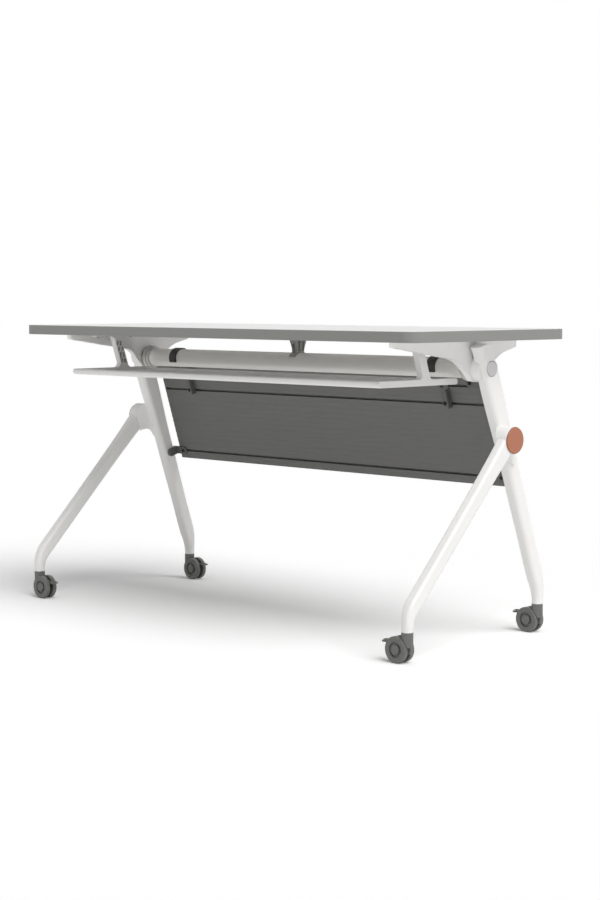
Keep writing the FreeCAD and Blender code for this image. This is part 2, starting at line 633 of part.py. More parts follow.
def make_flip_bracket():
    """Cast bracket: a long front arm, a hub on the beam and a short rear arm."""
    top = TOP_UNDER_Z
    chin_y = HUB_RADIUS * HUB_CHIN_SHARES[0]
    chin_z = HUB_RADIUS * HUB_CHIN_SHARES[1]
    corners = [
        (AXIS_Y - ARM_FRONT_REACH, top, 0),
        (AXIS_Y - ARM_FRONT_REACH, top - ARM_FRONT_HEIGHT, ARM_END_RADIUS),
        (AXIS_Y - ARM_SHOULDER_REACH, top - ARM_SHOULDER_HEIGHT, ARM_SHOULDER_RADIUS),
        (AXIS_Y - chin_y, AXIS_Z - chin_z, HUB_CHIN_RADIUS),
        (AXIS_Y, AXIS_Z - HUB_RADIUS, 0),
        (AXIS_Y + HUB_RADIUS, AXIS_Z, 0),
        (AXIS_Y + REAR_CURVE_REACH, top - REAR_CURVE_HEIGHT, REAR_CURVE_RADIUS),
        (AXIS_Y + ARM_REAR_REACH, top - ARM_REAR_HEIGHT, ARM_END_RADIUS),
        (AXIS_Y + ARM_REAR_REACH, top, 0),
    ]
    body = slab_x(corners, ARM_INNER_X, HUB_OUTER_X)
    body = joined([body, rod_x(HUB_RADIUS, ARM_INNER_X, HUB_OUTER_X, AXIS_Y, AXIS_Z)])
    front = AXIS_Y - ARM_FRONT_REACH
    rear = AXIS_Y + ARM_REAR_REACH
    inner = [AXIS_Y - ARM_FRONT_REACH * s for s in PLAN_INNER_STEP_SHARES]
    outer = [AXIS_Y - ARM_FRONT_REACH * s for s in PLAN_OUTER_STEP_SHARES]
    plan = [
        (ARM_INNER_X, front, PLAN_END_RADIUS),
        (ARM_OUTER_X, front, PLAN_END_RADIUS),
        (ARM_OUTER_X, outer[0], ARM_SWEEP_RADIUS),
        (HUB_OUTER_X, outer[1], ARM_SWEEP_RADIUS),
        (HUB_OUTER_X, rear, PLAN_END_RADIUS),
        (HUB_INNER_X, rear, PLAN_END_RADIUS),
        (HUB_INNER_X, inner[1], ARM_SWEEP_RADIUS),
        (ARM_INNER_X, inner[0], ARM_SWEEP_RADIUS),
    ]
    mask = slab_z(plan, AXIS_Z - HUB_RADIUS - CUT_OVERRUN, top + CUT_OVERRUN)
    body = body.common(mask)
    cuts = [rod_x(BEAM_RADIUS + RUN_GAP + BUSH_WALL + RUN_GAP, ARM_INNER_X - CUT_OVERRUN,
                  HUB_OUTER_X + CUT_OVERRUN, AXIS_Y, AXIS_Z)]
    for x, y in bracket_screws():
        cuts.append(rod_z(TOP_SCREW_RADIUS + SCREW_GAP, top - ARM_SHOULDER_HEIGHT, top + CUT_OVERRUN, x, y))
        cuts.append(rod_z(TOP_SCREW_HEAD_RADIUS + FACE_GAP, AXIS_Z, top - TOP_SCREW_GRIP, x, y))
    return body.cut(cuts)


def make_hub_bush():
    """Plain flanged bearing in the bracket's hub."""
    r = BEAM_RADIUS + RUN_GAP
    profile = [(BUSH_FACE_X, r), (BUSH_FACE_X, BUSH_FLANGE_RADIUS), (HUB_INNER_X, BUSH_FLANGE_RADIUS),
               (HUB_INNER_X, r + BUSH_WALL), (HUB_OUTER_X, r + BUSH_WALL), (HUB_OUTER_X, r)]
    return turned(profile, Vec(0, AXIS_Y, AXIS_Z), Vec(1, 0, 0))


def make_release_button():
    """Push button in the leg, with its rod inside the beam."""
    t = BUTTON_THICKNESS
    r = BUTTON_RADIUS
    c = BUTTON_CHAMFER
    rod_end = ROD_INNER_X - BUTTON_INNER_X
    profile = [(rod_end, 0), (rod_end, ROD_RADIUS), (0, ROD_RADIUS), (0, r), (t - c, r), (t, r - c), (t, 0)]
    button = turned(profile, Vec(BUTTON_INNER_X, AXIS_Y, AXIS_Z), Vec(1, 0, 0))
    hole = rod_z(PIN_RADIUS + SCREW_GAP, AXIS_Z - BEAM_RADIUS, AXIS_Z + BEAM_RADIUS, PIN_X, AXIS_Y)
    return button.cut(hole)


def make_cross_pin():
    """Pin through the push rod, the beam's slots and the lock collar."""
    reach = COLLAR_RADIUS - PIN_END_INSET
    return rod_z(PIN_RADIUS, AXIS_Z - reach, AXIS_Z + reach, PIN_X, AXIS_Y)


def make_lock_collar():
    """Stepped ring on the beam that grips the bracket's bearing face."""
    r = BEAM_RADIUS + RUN_GAP
    step_x = COLLAR_INNER_X - COLLAR_STEP_LENGTH
    c = COLLAR_CHAMFER
    profile = [(step_x, r), (step_x, COLLAR_STEP_RADIUS - c), (step_x + c, COLLAR_STEP_RADIUS),
               (COLLAR_INNER_X, COLLAR_STEP_RADIUS), (COLLAR_INNER_X, COLLAR_RADIUS - c),
               (COLLAR_INNER_X + c, COLLAR_RADIUS), (COLLAR_OUTER_X - c, COLLAR_RADIUS),
               (COLLAR_OUTER_X, COLLAR_RADIUS - c), (COLLAR_OUTER_X, r)]
    ring = turned(profile, Vec(0, AXIS_Y, AXIS_Z), Vec(1, 0, 0))
    hole = rod_z(PIN_RADIUS + SCREW_GAP, AXIS_Z - COLLAR_RADIUS - CUT_OVERRUN,
                 AXIS_Z + COLLAR_RADIUS + CUT_OVERRUN, PIN_X, AXIS_Y)
    return ring.cut(hole)


def make_lock_spring():
    """Coil spring between the push rod's end and its seat in the beam."""
    length = SPRING_LENGTH - SPRING_WIRE_RADIUS * 2 - FACE_GAP * 2
    path = Part.makeHelix(length / SPRING_TURNS, length, SPRING_COIL_RADIUS)
    wire = Part.Wire(Part.Circle(Vec(SPRING_COIL_RADIUS, 0, 0), Vec(0, 1, 0), SPRING_WIRE_RADIUS).toShape())
    coil = Part.Wire(path).makePipeShell([wire], True, True)
    coil.rotate(Vec(0, 0, 0), Vec(0, 1, 0), 90)
    coil.translate(Vec(SEAT_OUTER_X + SPRING_WIRE_RADIUS + FACE_GAP, AXIS_Y, AXIS_Z))
    return coil


def make_spring_seat():
    """Plug fixed in the beam behind the spring."""
    return rod_x(BEAM_RADIUS - BEAM_WALL - RUN_GAP, SEAT_OUTER_X - SEAT_THICKNESS, SEAT_OUTER_X,
                 AXIS_Y, AXIS_Z)


def make_mid_saddle():
    """Y-shaped support between the top and the beam, pocketed on both sides."""
    top = TOP_UNDER_Z
    half = SADDLE_THICKNESS / 2
    inner = BEAM_RADIUS + FACE_GAP
    waist = SADDLE_WAIST_WIDTH / 2
    head = SADDLE_TOP_WIDTH / 2
    waist_z = top - SADDLE_WAIST_DROP
    corners = [(AXIS_Y - head, top, 0), (AXIS_Y - waist, waist_z, SADDLE_SIDE_RADIUS),
               (AXIS_Y - waist, AXIS_Z, 0), (AXIS_Y + waist, AXIS_Z, 0),
               (AXIS_Y + waist, waist_z, SADDLE_SIDE_RADIUS), (AXIS_Y + head, top, 0)]
    body = slab_x(corners, -half, half)
    ring = rod_x(inner + SADDLE_WALL, -half, half, AXIS_Y, AXIS_Z)
    reach = (inner + SADDLE_WALL) * 2
    slope = math.tan(math.radians(SADDLE_WRAP_DEG))
    wedge = slab_x([(AXIS_Y, AXIS_Z, 0), (AXIS_Y + reach * slope, AXIS_Z + reach, 0),
                    (AXIS_Y - reach * slope, AXIS_Z + reach, 0)], -half, half)
    body = joined([body, ring.common(wedge)])
    cuts = [rod_x(inner, -half - CUT_OVERRUN, half + CUT_OVERRUN, AXIS_Y, AXIS_Z)]
    pocket_top = top - SADDLE_FLANGE
    pocket_low = AXIS_Z + inner + SADDLE_WALL
    for side in (-1, 1):
        outer_top = AXIS_Y + side * (head - SADDLE_FLANGE * 2)
        outer_low = AXIS_Y + side * (waist - SADDLE_FLANGE / 2)
        rib = AXIS_Y + side * SADDLE_RIB / 2
        outline = [(rib, pocket_top, 0), (outer_top, pocket_top, 0), (outer_low, pocket_low, 0),
                   (rib, pocket_low, 0)]
        cuts.append(slab_x(outline, half - SADDLE_POCKET_DEPTH, half + CUT_OVERRUN))
        cuts.append(slab_x(outline, -half - CUT_OVERRUN, -half + SADDLE_POCKET_DEPTH))
    for x, y in saddle_screws():
        cuts.append(rod_z(TOP_SCREW_RADIUS + SCREW_GAP, top - TOP_SCREW_GRIP - CUT_OVERRUN,
                          top + CUT_OVERRUN, x, y))
        cuts.append(rod_z(TOP_SCREW_HEAD_RADIUS + FACE_GAP, AXIS_Z + BEAM_RADIUS,
                          top - TOP_SCREW_GRIP, x, y))
    return body.cut(cuts)


def saddle_screws():
    """Places of the saddle's screws into the top."""
    return [(0, AXIS_Y + SADDLE_TOP_WIDTH / 2 * share) for share in SADDLE_SCREW_SHARES]


def stem_line():
    """Foot and head of the basket stem's middle line, measured from the front of the basket."""
    foot = BASKET_FRONT_Y + STEM_FOOT_SHIFT
    return foot, foot - STEM_LEAN


def flange_screws():
    """Places of the basket hanger's screws into the top."""
    foot, head = stem_line()
    x = (BASKET_INNER_X + BASKET_OUTER_X) / 2
    places = []
    for share in FLANGE_SCREW_SHARES:
        reach = HANGER_FLANGE_FRONT if share < 0 else HANGER_FLANGE_REAR
        places.append((x, head + reach * share))
    return places


def make_basket_end():
    """Cast T-shaped hanger: foot bar, slanted stem and a flange under the top."""
    top = TOP_UNDER_Z
    foot, head = stem_line()
    w = STEM_WIDTH / 2
    low = BASKET_LOW_Z + BASKET_BAR_HEIGHT / 2
    bar_corners = [(BASKET_FRONT_Y, BASKET_LOW_Z, BASKET_BAR_END_RADIUS),
                   (BASKET_REAR_Y, BASKET_LOW_Z, BASKET_BAR_END_RADIUS),
                   (BASKET_REAR_Y, BASKET_TOP_Z, BASKET_BAR_END_RADIUS),
                   (BASKET_FRONT_Y, BASKET_TOP_Z, BASKET_BAR_END_RADIUS)]
    bar = slab_x(bar_corners, BASKET_INNER_X, BASKET_OUTER_X)
    flange_z = top - HANGER_FLANGE_HEIGHT
    spread = w + STEM_FILLET * 2
    corners = [
        (head - HANGER_FLANGE_FRONT, top, 0),
        (head - HANGER_FLANGE_FRONT, flange_z, 0),
        (head - w, flange_z, STEM_FILLET),
        (foot - w, BASKET_TOP_Z, STEM_FILLET),
        (foot - spread, BASKET_TOP_Z, 0),
        (foot - spread, low, 0),
        (foot + spread, low, 0),
        (foot + spread, BASKET_TOP_Z, 0),
        (foot + w, BASKET_TOP_Z, STEM_FILLET),
        (head + w, flange_z, STEM_FILLET),
        (head + HANGER_FLANGE_REAR, flange_z, 0),
        (head + HANGER_FLANGE_REAR, top, 0),
    ]
    body = joined([bar, slab_x(corners, BASKET_INNER_X, BASKET_OUTER_X)])
    cuts = []
    pocket_x = (BASKET_INNER_X - CUT_OVERRUN, BASKET_INNER_X + POCKET_DEPTH)
    pitch = STEM_POCKET_HEIGHT + STEM_POCKET_GAP
    first = BASKET_TOP_Z + STEM_FILLET
    for row in range(STEM_POCKET_ROWS):
        z_low = first + pitch * row
        z_middle = z_low + STEM_POCKET_HEIGHT / 2
        share = (z_middle - BASKET_TOP_Z) / (flange_z - BASKET_TOP_Z)
        middle = foot + (head - foot) * share
        for side in (-1, 1):
            y_low = middle + side * (STEM_POCKET_WIDTH + STEM_POCKET_GAP) / 2 - STEM_POCKET_WIDTH / 2
            cuts.append(box(pocket_x, (y_low, y_low + STEM_POCKET_WIDTH),
                            (z_low, z_low + STEM_POCKET_HEIGHT)))
    z_low = flange_z + (HANGER_FLANGE_HEIGHT - FLANGE_POCKET_HEIGHT) / 2
    for side in (-1, 1):
        for step in range(FLANGE_POCKETS_PER_SIDE):
            middle = head + side * (w + FLANGE_POCKET_PITCH * (step + 0.5))
            half = FLANGE_POCKET_LENGTH / 2
            cuts.append(box((pocket_x[0], BASKET_INNER_X + STEM_POCKET_GAP), (middle - half, middle + half),
                            (z_low, z_low + FLANGE_POCKET_HEIGHT)))
    for x, y in flange_screws():
        cuts.append(rod_z(TOP_SCREW_RADIUS + SCREW_GAP, flange_z - CUT_OVERRUN, top + CUT_OVERRUN, x, y))
    return body.cut(cuts)


def make_basket_tray():
    """Extruded shelf between the hangers, with a front rail, beads and a rear rail."""
    x = BASKET_INNER_X
    front = BASKET_FRONT_Y
    rear = BASKET_REAR_Y - TRAY_REAR_GAP
    low = BASKET_LOW_Z
    r = TRAY_RAIL_RADIUS
    rail = slab_x([(front, low, r), (front + TRAY_RAIL_DEPTH, low, r),
                   (front + TRAY_RAIL_DEPTH, BASKET_TOP_Z, r), (front, BASKET_TOP_Z, r)], -x, x)
    q = TRAY_REAR_RAIL_RADIUS
    rear_rail = slab_x([(rear - TRAY_REAR_RAIL_DEPTH, low, q), (rear, low, q),
                        (rear, low + TRAY_REAR_RAIL_HEIGHT, q),
                        (rear - TRAY_REAR_RAIL_DEPTH, low + TRAY_REAR_RAIL_HEIGHT, q)], -x, x)
    floor_y = (front + TRAY_RAIL_DEPTH / 2, rear - TRAY_REAR_RAIL_DEPTH / 2)
    floor_z = low + TRAY_RAIL_RADIUS
    pieces = [rail, rear_rail, box((-x, x), floor_y, (floor_z - TRAY_FLOOR_THICKNESS, floor_z))]
    for share in TRAY_BEAD_SHARES:
        y = floor_y[0] + (floor_y[1] - floor_y[0]) * share
        pieces.append(rod_x(TRAY_BEAD_RADIUS, -x, x, y, floor_z - TRAY_FLOOR_THICKNESS / 2))
    return joined(pieces)


def on_panel(shape):
    """Set a piece drawn on an upright panel (front face at y = 0, lower edge at z = 0) on its slope."""
    tilt = math.radians(PANEL_TILT_DEG)
    back = Vec(0, math.cos(tilt), math.sin(tilt))
    up = Vec(0, -math.sin(tilt), math.cos(tilt))
    foot = Vec(0, AXIS_Y, AXIS_Z) + back * PANEL_AXIS_GAP - up * (PANEL_TOP_DROP + PANEL_HEIGHT)
    shape.rotate(Vec(0, 0, 0), Vec(1, 0, 0), PANEL_TILT_DEG)
    shape.translate(foot)
    return shape


def make_modesty_panel():
    """Panel with shallow ribs on its front and three fixing slots that stop short of its ends."""
    x = PANEL_HALF_LENGTH
    points = [(PANEL_THICKNESS, 0), (0, 0)]
    groove = PANEL_RIB_PITCH * (1 - PANEL_RIB_WIDTH_SHARE)
    count = int((PANEL_HEIGHT - PANEL_EDGE_MARGIN * 2) / PANEL_RIB_PITCH)
    start = (PANEL_HEIGHT - count * PANEL_RIB_PITCH) / 2
    clear = PANEL_SLOT_HEIGHT / 2 + groove / 2
    for i in range(count):
        low = start + i * PANEL_RIB_PITCH
        middle = low + groove / 2
        if min(abs(middle - slot) for slot in PANEL_SLOT_HEIGHTS) > clear:
            points += [(0, low), (PANEL_RIB_DEPTH, middle), (0, low + groove)]
    points += [(0, PANEL_HEIGHT), (PANEL_THICKNESS, PANEL_HEIGHT)]
    wire = Part.makePolygon([Vec(-x, y, z) for y, z in points + points[:1]])
    panel = Part.Face(wire).extrude(Vec(2 * x, 0, 0))
    half = PANEL_SLOT_HEIGHT / 2
    end = x - PANEL_EDGE_MARGIN
    slots = [box((-end, end), (-CUT_OVERRUN, PANEL_SLOT_DEPTH), (z - half, z + half)) for z in PANEL_SLOT_HEIGHTS]
    bolt_x, bolt_z = bracket_bolt("upper")
    holes = [rod_y(PANEL_SCREW_RADIUS + SCREW_GAP, -CUT_OVERRUN, PANEL_SLOT_DEPTH, side * bolt_x, bolt_z)
             for side in (-1, 1)]
    return on_panel(panel.cut(slots + holes))


def hook_x(ref):
    """Left and right sides of the hook that belongs to a reference place."""
    middle = ref + HOOK_OFFSET
    return middle - HOOK_WIDTH / 2, middle + HOOK_WIDTH / 2


def make_beam_hook(ref):
    """Hook over the beam with a tail down to the hanger bar."""
    x_low, x_high = hook_x(ref)
    inner = BEAM_RADIUS + HOOK_GAP
    outer = inner + HOOK_WALL
    ring = rod_x(outer, x_low, x_high, AXIS_Y, AXIS_Z).cut(
        rod_x(inner, x_low - CUT_OVERRUN, x_high + CUT_OVERRUN, AXIS_Y, AXIS_Z))
    reach = outer * 3
    angles = [math.radians(a) for a in (HOOK_FRONT_DEG, 270 + HOOK_REAR_DEG / 2, 360 + HOOK_REAR_DEG)]
    points = [(AXIS_Y + reach * math.cos(a), AXIS_Z + reach * math.sin(a), 0) for a in angles]
    ring = ring.cut(slab_x([(AXIS_Y, AXIS_Z, 0)] + points, x_low - CUT_OVERRUN, x_high + CUT_OVERRUN))
    top = PANEL_HEIGHT + PANEL_TOP_DROP
    tail = on_panel(box((x_low, x_high), (HANGER_THICKNESS - PANEL_AXIS_GAP + inner, -HANGER_THICKNESS),
                        (top - HOOK_TAIL_LENGTH - HANGER_TAB_HEIGHT, top)))
    tail = tail.cut(rod_x(inner, x_low - CUT_OVERRUN, x_high + CUT_OVERRUN, AXIS_Y, AXIS_Z))
    return joined([ring, tail])


def hanger_bolts(ref):
    """Places of a hanger's bolts on the panel."""
    x = ref - HANGER_OFFSET - HANGER_WIDTH / 2 + HANGER_BOLT_INSET
    return [(x, PANEL_SLOT_HEIGHTS[1]), (x, PANEL_SLOT_HEIGHTS[2])]


def make_panel_hanger(ref):
    """Bar on the panel with a stiff web and a tab behind the hook's tail."""
    x_high = ref - HANGER_OFFSET + HANGER_WIDTH / 2
    x_low = x_high - HANGER_WIDTH
    low = PANEL_SLOT_HEIGHTS[1] - HANGER_FOOT_MARGIN
    high = PANEL_HEIGHT + HANGER_TOP_MARGIN
    t = HANGER_THICKNESS
    r = HANGER_END_RADIUS
    plate = slab_y([(x_low, low, r), (x_high, low, 0), (x_high, high, 0), (x_low, high, r)], -t, 0)
    web = box((x_high - HANGER_WEB_WIDTH, x_high), (-t - HANGER_WEB_DEPTH, 0),
              (low, PANEL_SLOT_HEIGHTS[2] - HANGER_FOOT_MARGIN))
    tab = box((x_high - t, hook_x(ref)[1]), (-t, 0), (high - HANGER_TAB_HEIGHT, high))
    body = joined([plate, web, tab])
    holes = [rod_y(PANEL_SCREW_RADIUS + SCREW_GAP, -t - CUT_OVERRUN, CUT_OVERRUN, x, z)
             for x, z in hanger_bolts(ref)]
    return on_panel(body.cut(holes))


def bracket_bolt(level):
    """Place of an upper or lower panel bracket's bolt on the panel."""
    if level == "upper":
        return PANEL_HALF_LENGTH - UPPER_BOLT_X_INSET, PANEL_HEIGHT - UPPER_BOLT_DROP
    return PANEL_HALF_LENGTH - LOWER_BOLT_X_INSET, PANEL_SLOT_HEIGHTS[0]


def make_panel_bracket(level, leg):
    """Arm from the leg's inner side to a slot of the panel, shaped to the leg."""
    bolt_x, z = bracket_bolt(level)
    tilt = math.radians(PANEL_TILT_DEG)
    drop = (PANEL_TOP_DROP + PANEL_HEIGHT - z) * math.cos(tilt)
    height = AXIS_Z + PANEL_AXIS_GAP * math.sin(tilt) - drop
    share = (AXIS_Z - height) / (AXIS_Z - LEG_KNEE_Z)
    thickness = LEG_TOP_THICKNESS + (LEG_KNEE_THICKNESS - LEG_TOP_THICKNESS) * share
    leg_x = long_leg_x(height) - thickness / 2 + BRACKET_LEG_OVERLAP
    half = BRACKET_HEIGHT / 2
    t = BRACKET_THICKNESS
    r = BRACKET_PAD_RADIUS
    x_low = bolt_x - BRACKET_TIP_MARGIN
    arm = slab_y([(x_low, z - half, r), (leg_x, z - half, 0), (leg_x, z + half, 0), (x_low, z + half, r)],
                 -t, 0)
    pad = slab_x([(-BRACKET_PAD_DEPTH, z - half, r), (0, z - half, 0), (0, z + half, 0),
                  (-BRACKET_PAD_DEPTH, z + half, r)],
                 leg_x - BRACKET_LEG_OVERLAP - BRACKET_PAD_THICKNESS, leg_x)
    body = joined([arm, pad])
    hole = rod_y(PANEL_SCREW_RADIUS + SCREW_GAP, -t - CUT_OVERRUN, CUT_OVERRUN, bolt_x, z)
    return on_panel(body.cut(hole)).cut(leg)


def panel_screw(x, z, seat):
    """Round-headed bolt through a plate of thickness seat into a panel slot."""
    head_y = -seat - PANEL_SCREW_HEAD_HEIGHT
    r = PANEL_SCREW_HEAD_RADIUS
    h = PANEL_SCREW_HEAD_HEIGHT
    profile = [(0, 0), (0, r - h / 2), (h / 2, r), (h, r), (h, PANEL_SCREW_RADIUS),
               (PANEL_SCREW_LENGTH, PANEL_SCREW_RADIUS), (PANEL_SCREW_LENGTH, 0)]
    screw = turned(profile, Vec(x, head_y, z), Vec(0, 1, 0))
    socket = rod_y(SOCKET_RADIUS, head_y - CUT_OVERRUN, head_y + SOCKET_DEPTH, x, z)
    return on_panel(screw.cut(socket))


def top_screw(x, y, seat_z):
    """Screw up into the board, with its head under seat_z."""
    h = TOP_SCREW_HEAD_HEIGHT
    r = TOP_SCREW_HEAD_RADIUS
    length = TOP_UNDER_Z - seat_z + TOP_SCREW_BITE
    profile = [(0, 0), (0, r - h / 2), (h / 2, r), (h, r), (h, TOP_SCREW_RADIUS),
               (h + length, TOP_SCREW_RADIUS), (h + length, 0)]
    points = [Vec(x + radius, y, seat_z - h + along) for along, radius in profile]
    screw = Part.Face(Part.makePolygon(points + points[:1])).revolve(Vec(x, y, 0), Vec(0, 0, 1), 360)
    return screw.cut(rod_z(SOCKET_RADIUS, seat_z - h - CUT_OVERRUN, seat_z - h + SOCKET_DEPTH, x, y))


def top_screw_places():
    """Place and head height of every screw into the board."""
    places = []
    for side in (-1, 1):
        places += [(side * x, y, TOP_UNDER_Z - TOP_SCREW_GRIP) for x, y in bracket_screws()]
        places += [(side * x, y, TOP_UNDER_Z - HANGER_FLANGE_HEIGHT) for x, y in flange_screws()]
    places += [(x, y, TOP_UNDER_Z - TOP_SCREW_GRIP) for x, y in saddle_screws()]
    return places


def make_table_top():
    """Board inside the edging, with pilot holes for its screws."""
    board = slab_z(top_outline(BAND_THICKNESS), TOP_UNDER_Z, TOP_HEIGHT)
    holes = [rod_z(TOP_SCREW_RADIUS + SCREW_GAP, TOP_UNDER_Z - CUT_OVERRUN, TOP_UNDER_Z + TOP_SCREW_BITE
                   + FACE_GAP, x, y) for x, y, seat in top_screw_places()]
    return board.cut(holes)


def make_edge_band():
    """Edging around the board, with its outer edges broken."""
    c = BAND_CHAMFER
    middle = slab_z(top_outline(0), TOP_UNDER_Z + c, TOP_HEIGHT - c)
    pieces = [middle]
    for z_wide, z_narrow in ((TOP_UNDER_Z + c, TOP_UNDER_Z), (TOP_HEIGHT - c, TOP_HEIGHT)):
        wide = rounded_wire(top_outline(0), lambda p: Vec(p.x, p.y, z_wide))
        narrow = rounded_wire(top_outline(c), lambda p: Vec(p.x, p.y, z_narrow))
        pieces.append(Part.makeLoft([wide, narrow], True, True))
    band = joined(pieces)
    return band.cut(slab_z(top_outline(BAND_THICKNESS), TOP_UNDER_Z - CUT_OVERRUN, TOP_HEIGHT + CUT_OVERRUN))


def make_caster():
    """One caster around a stem at the origin, trailing towards +X: its pieces by name."""
    axle_x = CASTER_TRAIL
    axle_z = WHEEL_RADIUS
    neck_top = LEG_FOOT_Z - FACE_GAP
    arch = WHEEL_RADIUS + WHEEL_ARCH_GAP
    wide = NECK_RADIUS * 2
    neck = rod_z(NECK_RADIUS, NECK_LOW_Z, neck_top, 0, 0)
    for side in (-1, 1):
        y = sorted((side * FORK_THICKNESS / 2, side * wide))
        neck = neck.cut(rod_y(arch, y[0], y[1], axle_x, axle_z))
    half = FORK_THICKNESS / 2
    front = -NECK_RADIUS
    fork = slab_y([(front, FORK_LOW_Z, FORK_FRONT_RADIUS), (axle_x, FORK_LOW_Z, 0),
                   (axle_x, neck_top - NECK_RADIUS, 0), (front, neck_top - NECK_RADIUS, 0)], -half, half)
    boss = rod_y(FORK_BOSS_RADIUS, -half, half, axle_x, axle_z)
    lug_x = axle_x + LUG_REACH
    lug_z = axle_z + LUG_HEIGHT
    lug = rod_y(LUG_RADIUS, -LUG_THICKNESS / 2, LUG_THICKNESS / 2, lug_x, lug_z)
    arm = slab_y([(axle_x - LUG_REACH, axle_z, 0), (axle_x + FORK_BOSS_RADIUS - LUG_GAP, axle_z, 0),
                  (lug_x + LUG_RADIUS - LUG_GAP, lug_z, 0), (axle_x - LUG_REACH, lug_z, 0)],
                 -LUG_THICKNESS / 2, LUG_THICKNESS / 2)
    housing = joined([neck, fork, boss, lug, arm])
    cheek_room = rod_y(PEDAL_CHEEK_RADIUS + LUG_GAP, -half - CUT_OVERRUN, half + CUT_OVERRUN, lug_x, lug_z)
    keep = box((0, axle_x * 4), (-LUG_THICKNESS / 2, LUG_THICKNESS / 2), (0, LEG_FOOT_Z))
    housing = housing.cut(cheek_room.cut(keep))
    housing = housing.cut([
        rod_z(STEM_RADIUS + RUN_GAP, neck_top - STEM_IN_HOUSING, neck_top + CUT_OVERRUN, 0, 0),
        rod_y(AXLE_RADIUS + RUN_GAP, -half - CUT_OVERRUN, half + CUT_OVERRUN, axle_x, axle_z),
        rod_y(PEDAL_PIN_RADIUS + RUN_GAP, -half - CUT_OVERRUN, half + CUT_OVERRUN, lug_x, lug_z),
    ])
    axle_reach = WHEEL_INNER_Y + WHEEL_WIDTH - WHEEL_CAP_WALL - AXLE_END_GAP
    axle = rod_y(AXLE_RADIUS, -axle_reach, axle_reach, axle_x, axle_z)
    stem = rod_z(STEM_RADIUS, neck_top - STEM_IN_HOUSING + FACE_GAP, LEG_FOOT_Z + STEM_IN_LEG - FACE_GAP,
                 0, 0)
    return {
        "housing": housing,
        "axle": axle,
        "stem": stem,
        "wheel_near": make_wheel(-1),
        "wheel_far": make_wheel(1),
        "pedal": make_pedal(lug_x, lug_z),
    }


def make_wheel(side):
    """One wheel of a pair, with a raised hub and a ring groove on its outer face."""
    y_in = WHEEL_INNER_Y
    y_out = WHEEL_INNER_Y + WHEEL_WIDTH
    r = WHEEL_RADIUS
    e = WHEEL_EDGE
    bore = AXLE_RADIUS + RUN_GAP
    cap = y_out - WHEEL_CAP_WALL
    profile = [(y_in, bore), (y_in, r - e), (y_in + e, r), (y_out - e, r), (y_out, r - e),
               (y_out - WHEEL_RIM_DISH, WHEEL_RIM_RADIUS),
               (y_out - WHEEL_RIM_DISH, WHEEL_GROOVE_RADIUS),
               (y_out - WHEEL_GROOVE_DEPTH, WHEEL_GROOVE_RADIUS - WHEEL_EDGE),
               (y_out - WHEEL_GROOVE_DEPTH, WHEEL_HUB_RADIUS + WHEEL_EDGE / 2),
               (y_out, WHEEL_HUB_RADIUS), (y_out + WHEEL_HUB_PROUD, WHEEL_HUB_RADIUS - WHEEL_HUB_PROUD),
               (y_out + WHEEL_HUB_PROUD, 0), (cap, 0), (cap, bore)]
    return turned(profile, Vec(CASTER_TRAIL, 0, WHEEL_RADIUS), Vec(0, side, 0))


def make_pedal(lug_x, lug_z):
    """Brake pedal on the fork's lug: two cheeks, a pin, an arm and a foot pad."""
    half = FORK_THICKNESS / 2
    inner = LUG_THICKNESS / 2 + LUG_GAP
    pin = rod_y(PEDAL_PIN_RADIUS, -half, half, lug_x, lug_z)
    tall = PEDAL_ARM_HEIGHT / 2
    cheeks = []
    for side in (-1, 1):
        y = sorted((side * inner, side * half))
        disc = rod_y(PEDAL_CHEEK_RADIUS, y[0], y[1], lug_x, lug_z)
        bar = box((lug_x, lug_x + PEDAL_ARM_REACH), y, (lug_z - tall, lug_z + tall))
        cheeks += [disc, bar]
    bridge = box((lug_x + LUG_RADIUS + LUG_GAP, lug_x + PEDAL_ARM_REACH), (-half, half),
                 (lug_z - tall, lug_z + tall))
    pad_z = lug_z + PEDAL_PAD_RISE
    w = PEDAL_PAD_HALF_WIDTH
    start = lug_x + PEDAL_PAD_START
    r = PEDAL_PAD_RADIUS
    pad = slab_z([(start, -w, r), (start + PEDAL_PAD_LENGTH, -w, r), (start + PEDAL_PAD_LENGTH, w, r),
                  (start, w, r)], pad_z - PEDAL_PAD_THICKNESS, pad_z)
    return joined([pin, bridge, pad] + cheeks)


def placed_caster(shape, x, y):
    """Turn a caster piece so that it trails to the table's middle, and set it under a leg."""
    piece = shape.copy()
    if x > 0:
        piece.rotate(Vec(0, 0, 0), Vec(0, 0, 1), 180)
    piece.translate(Vec(x, y, 0))
    return piece


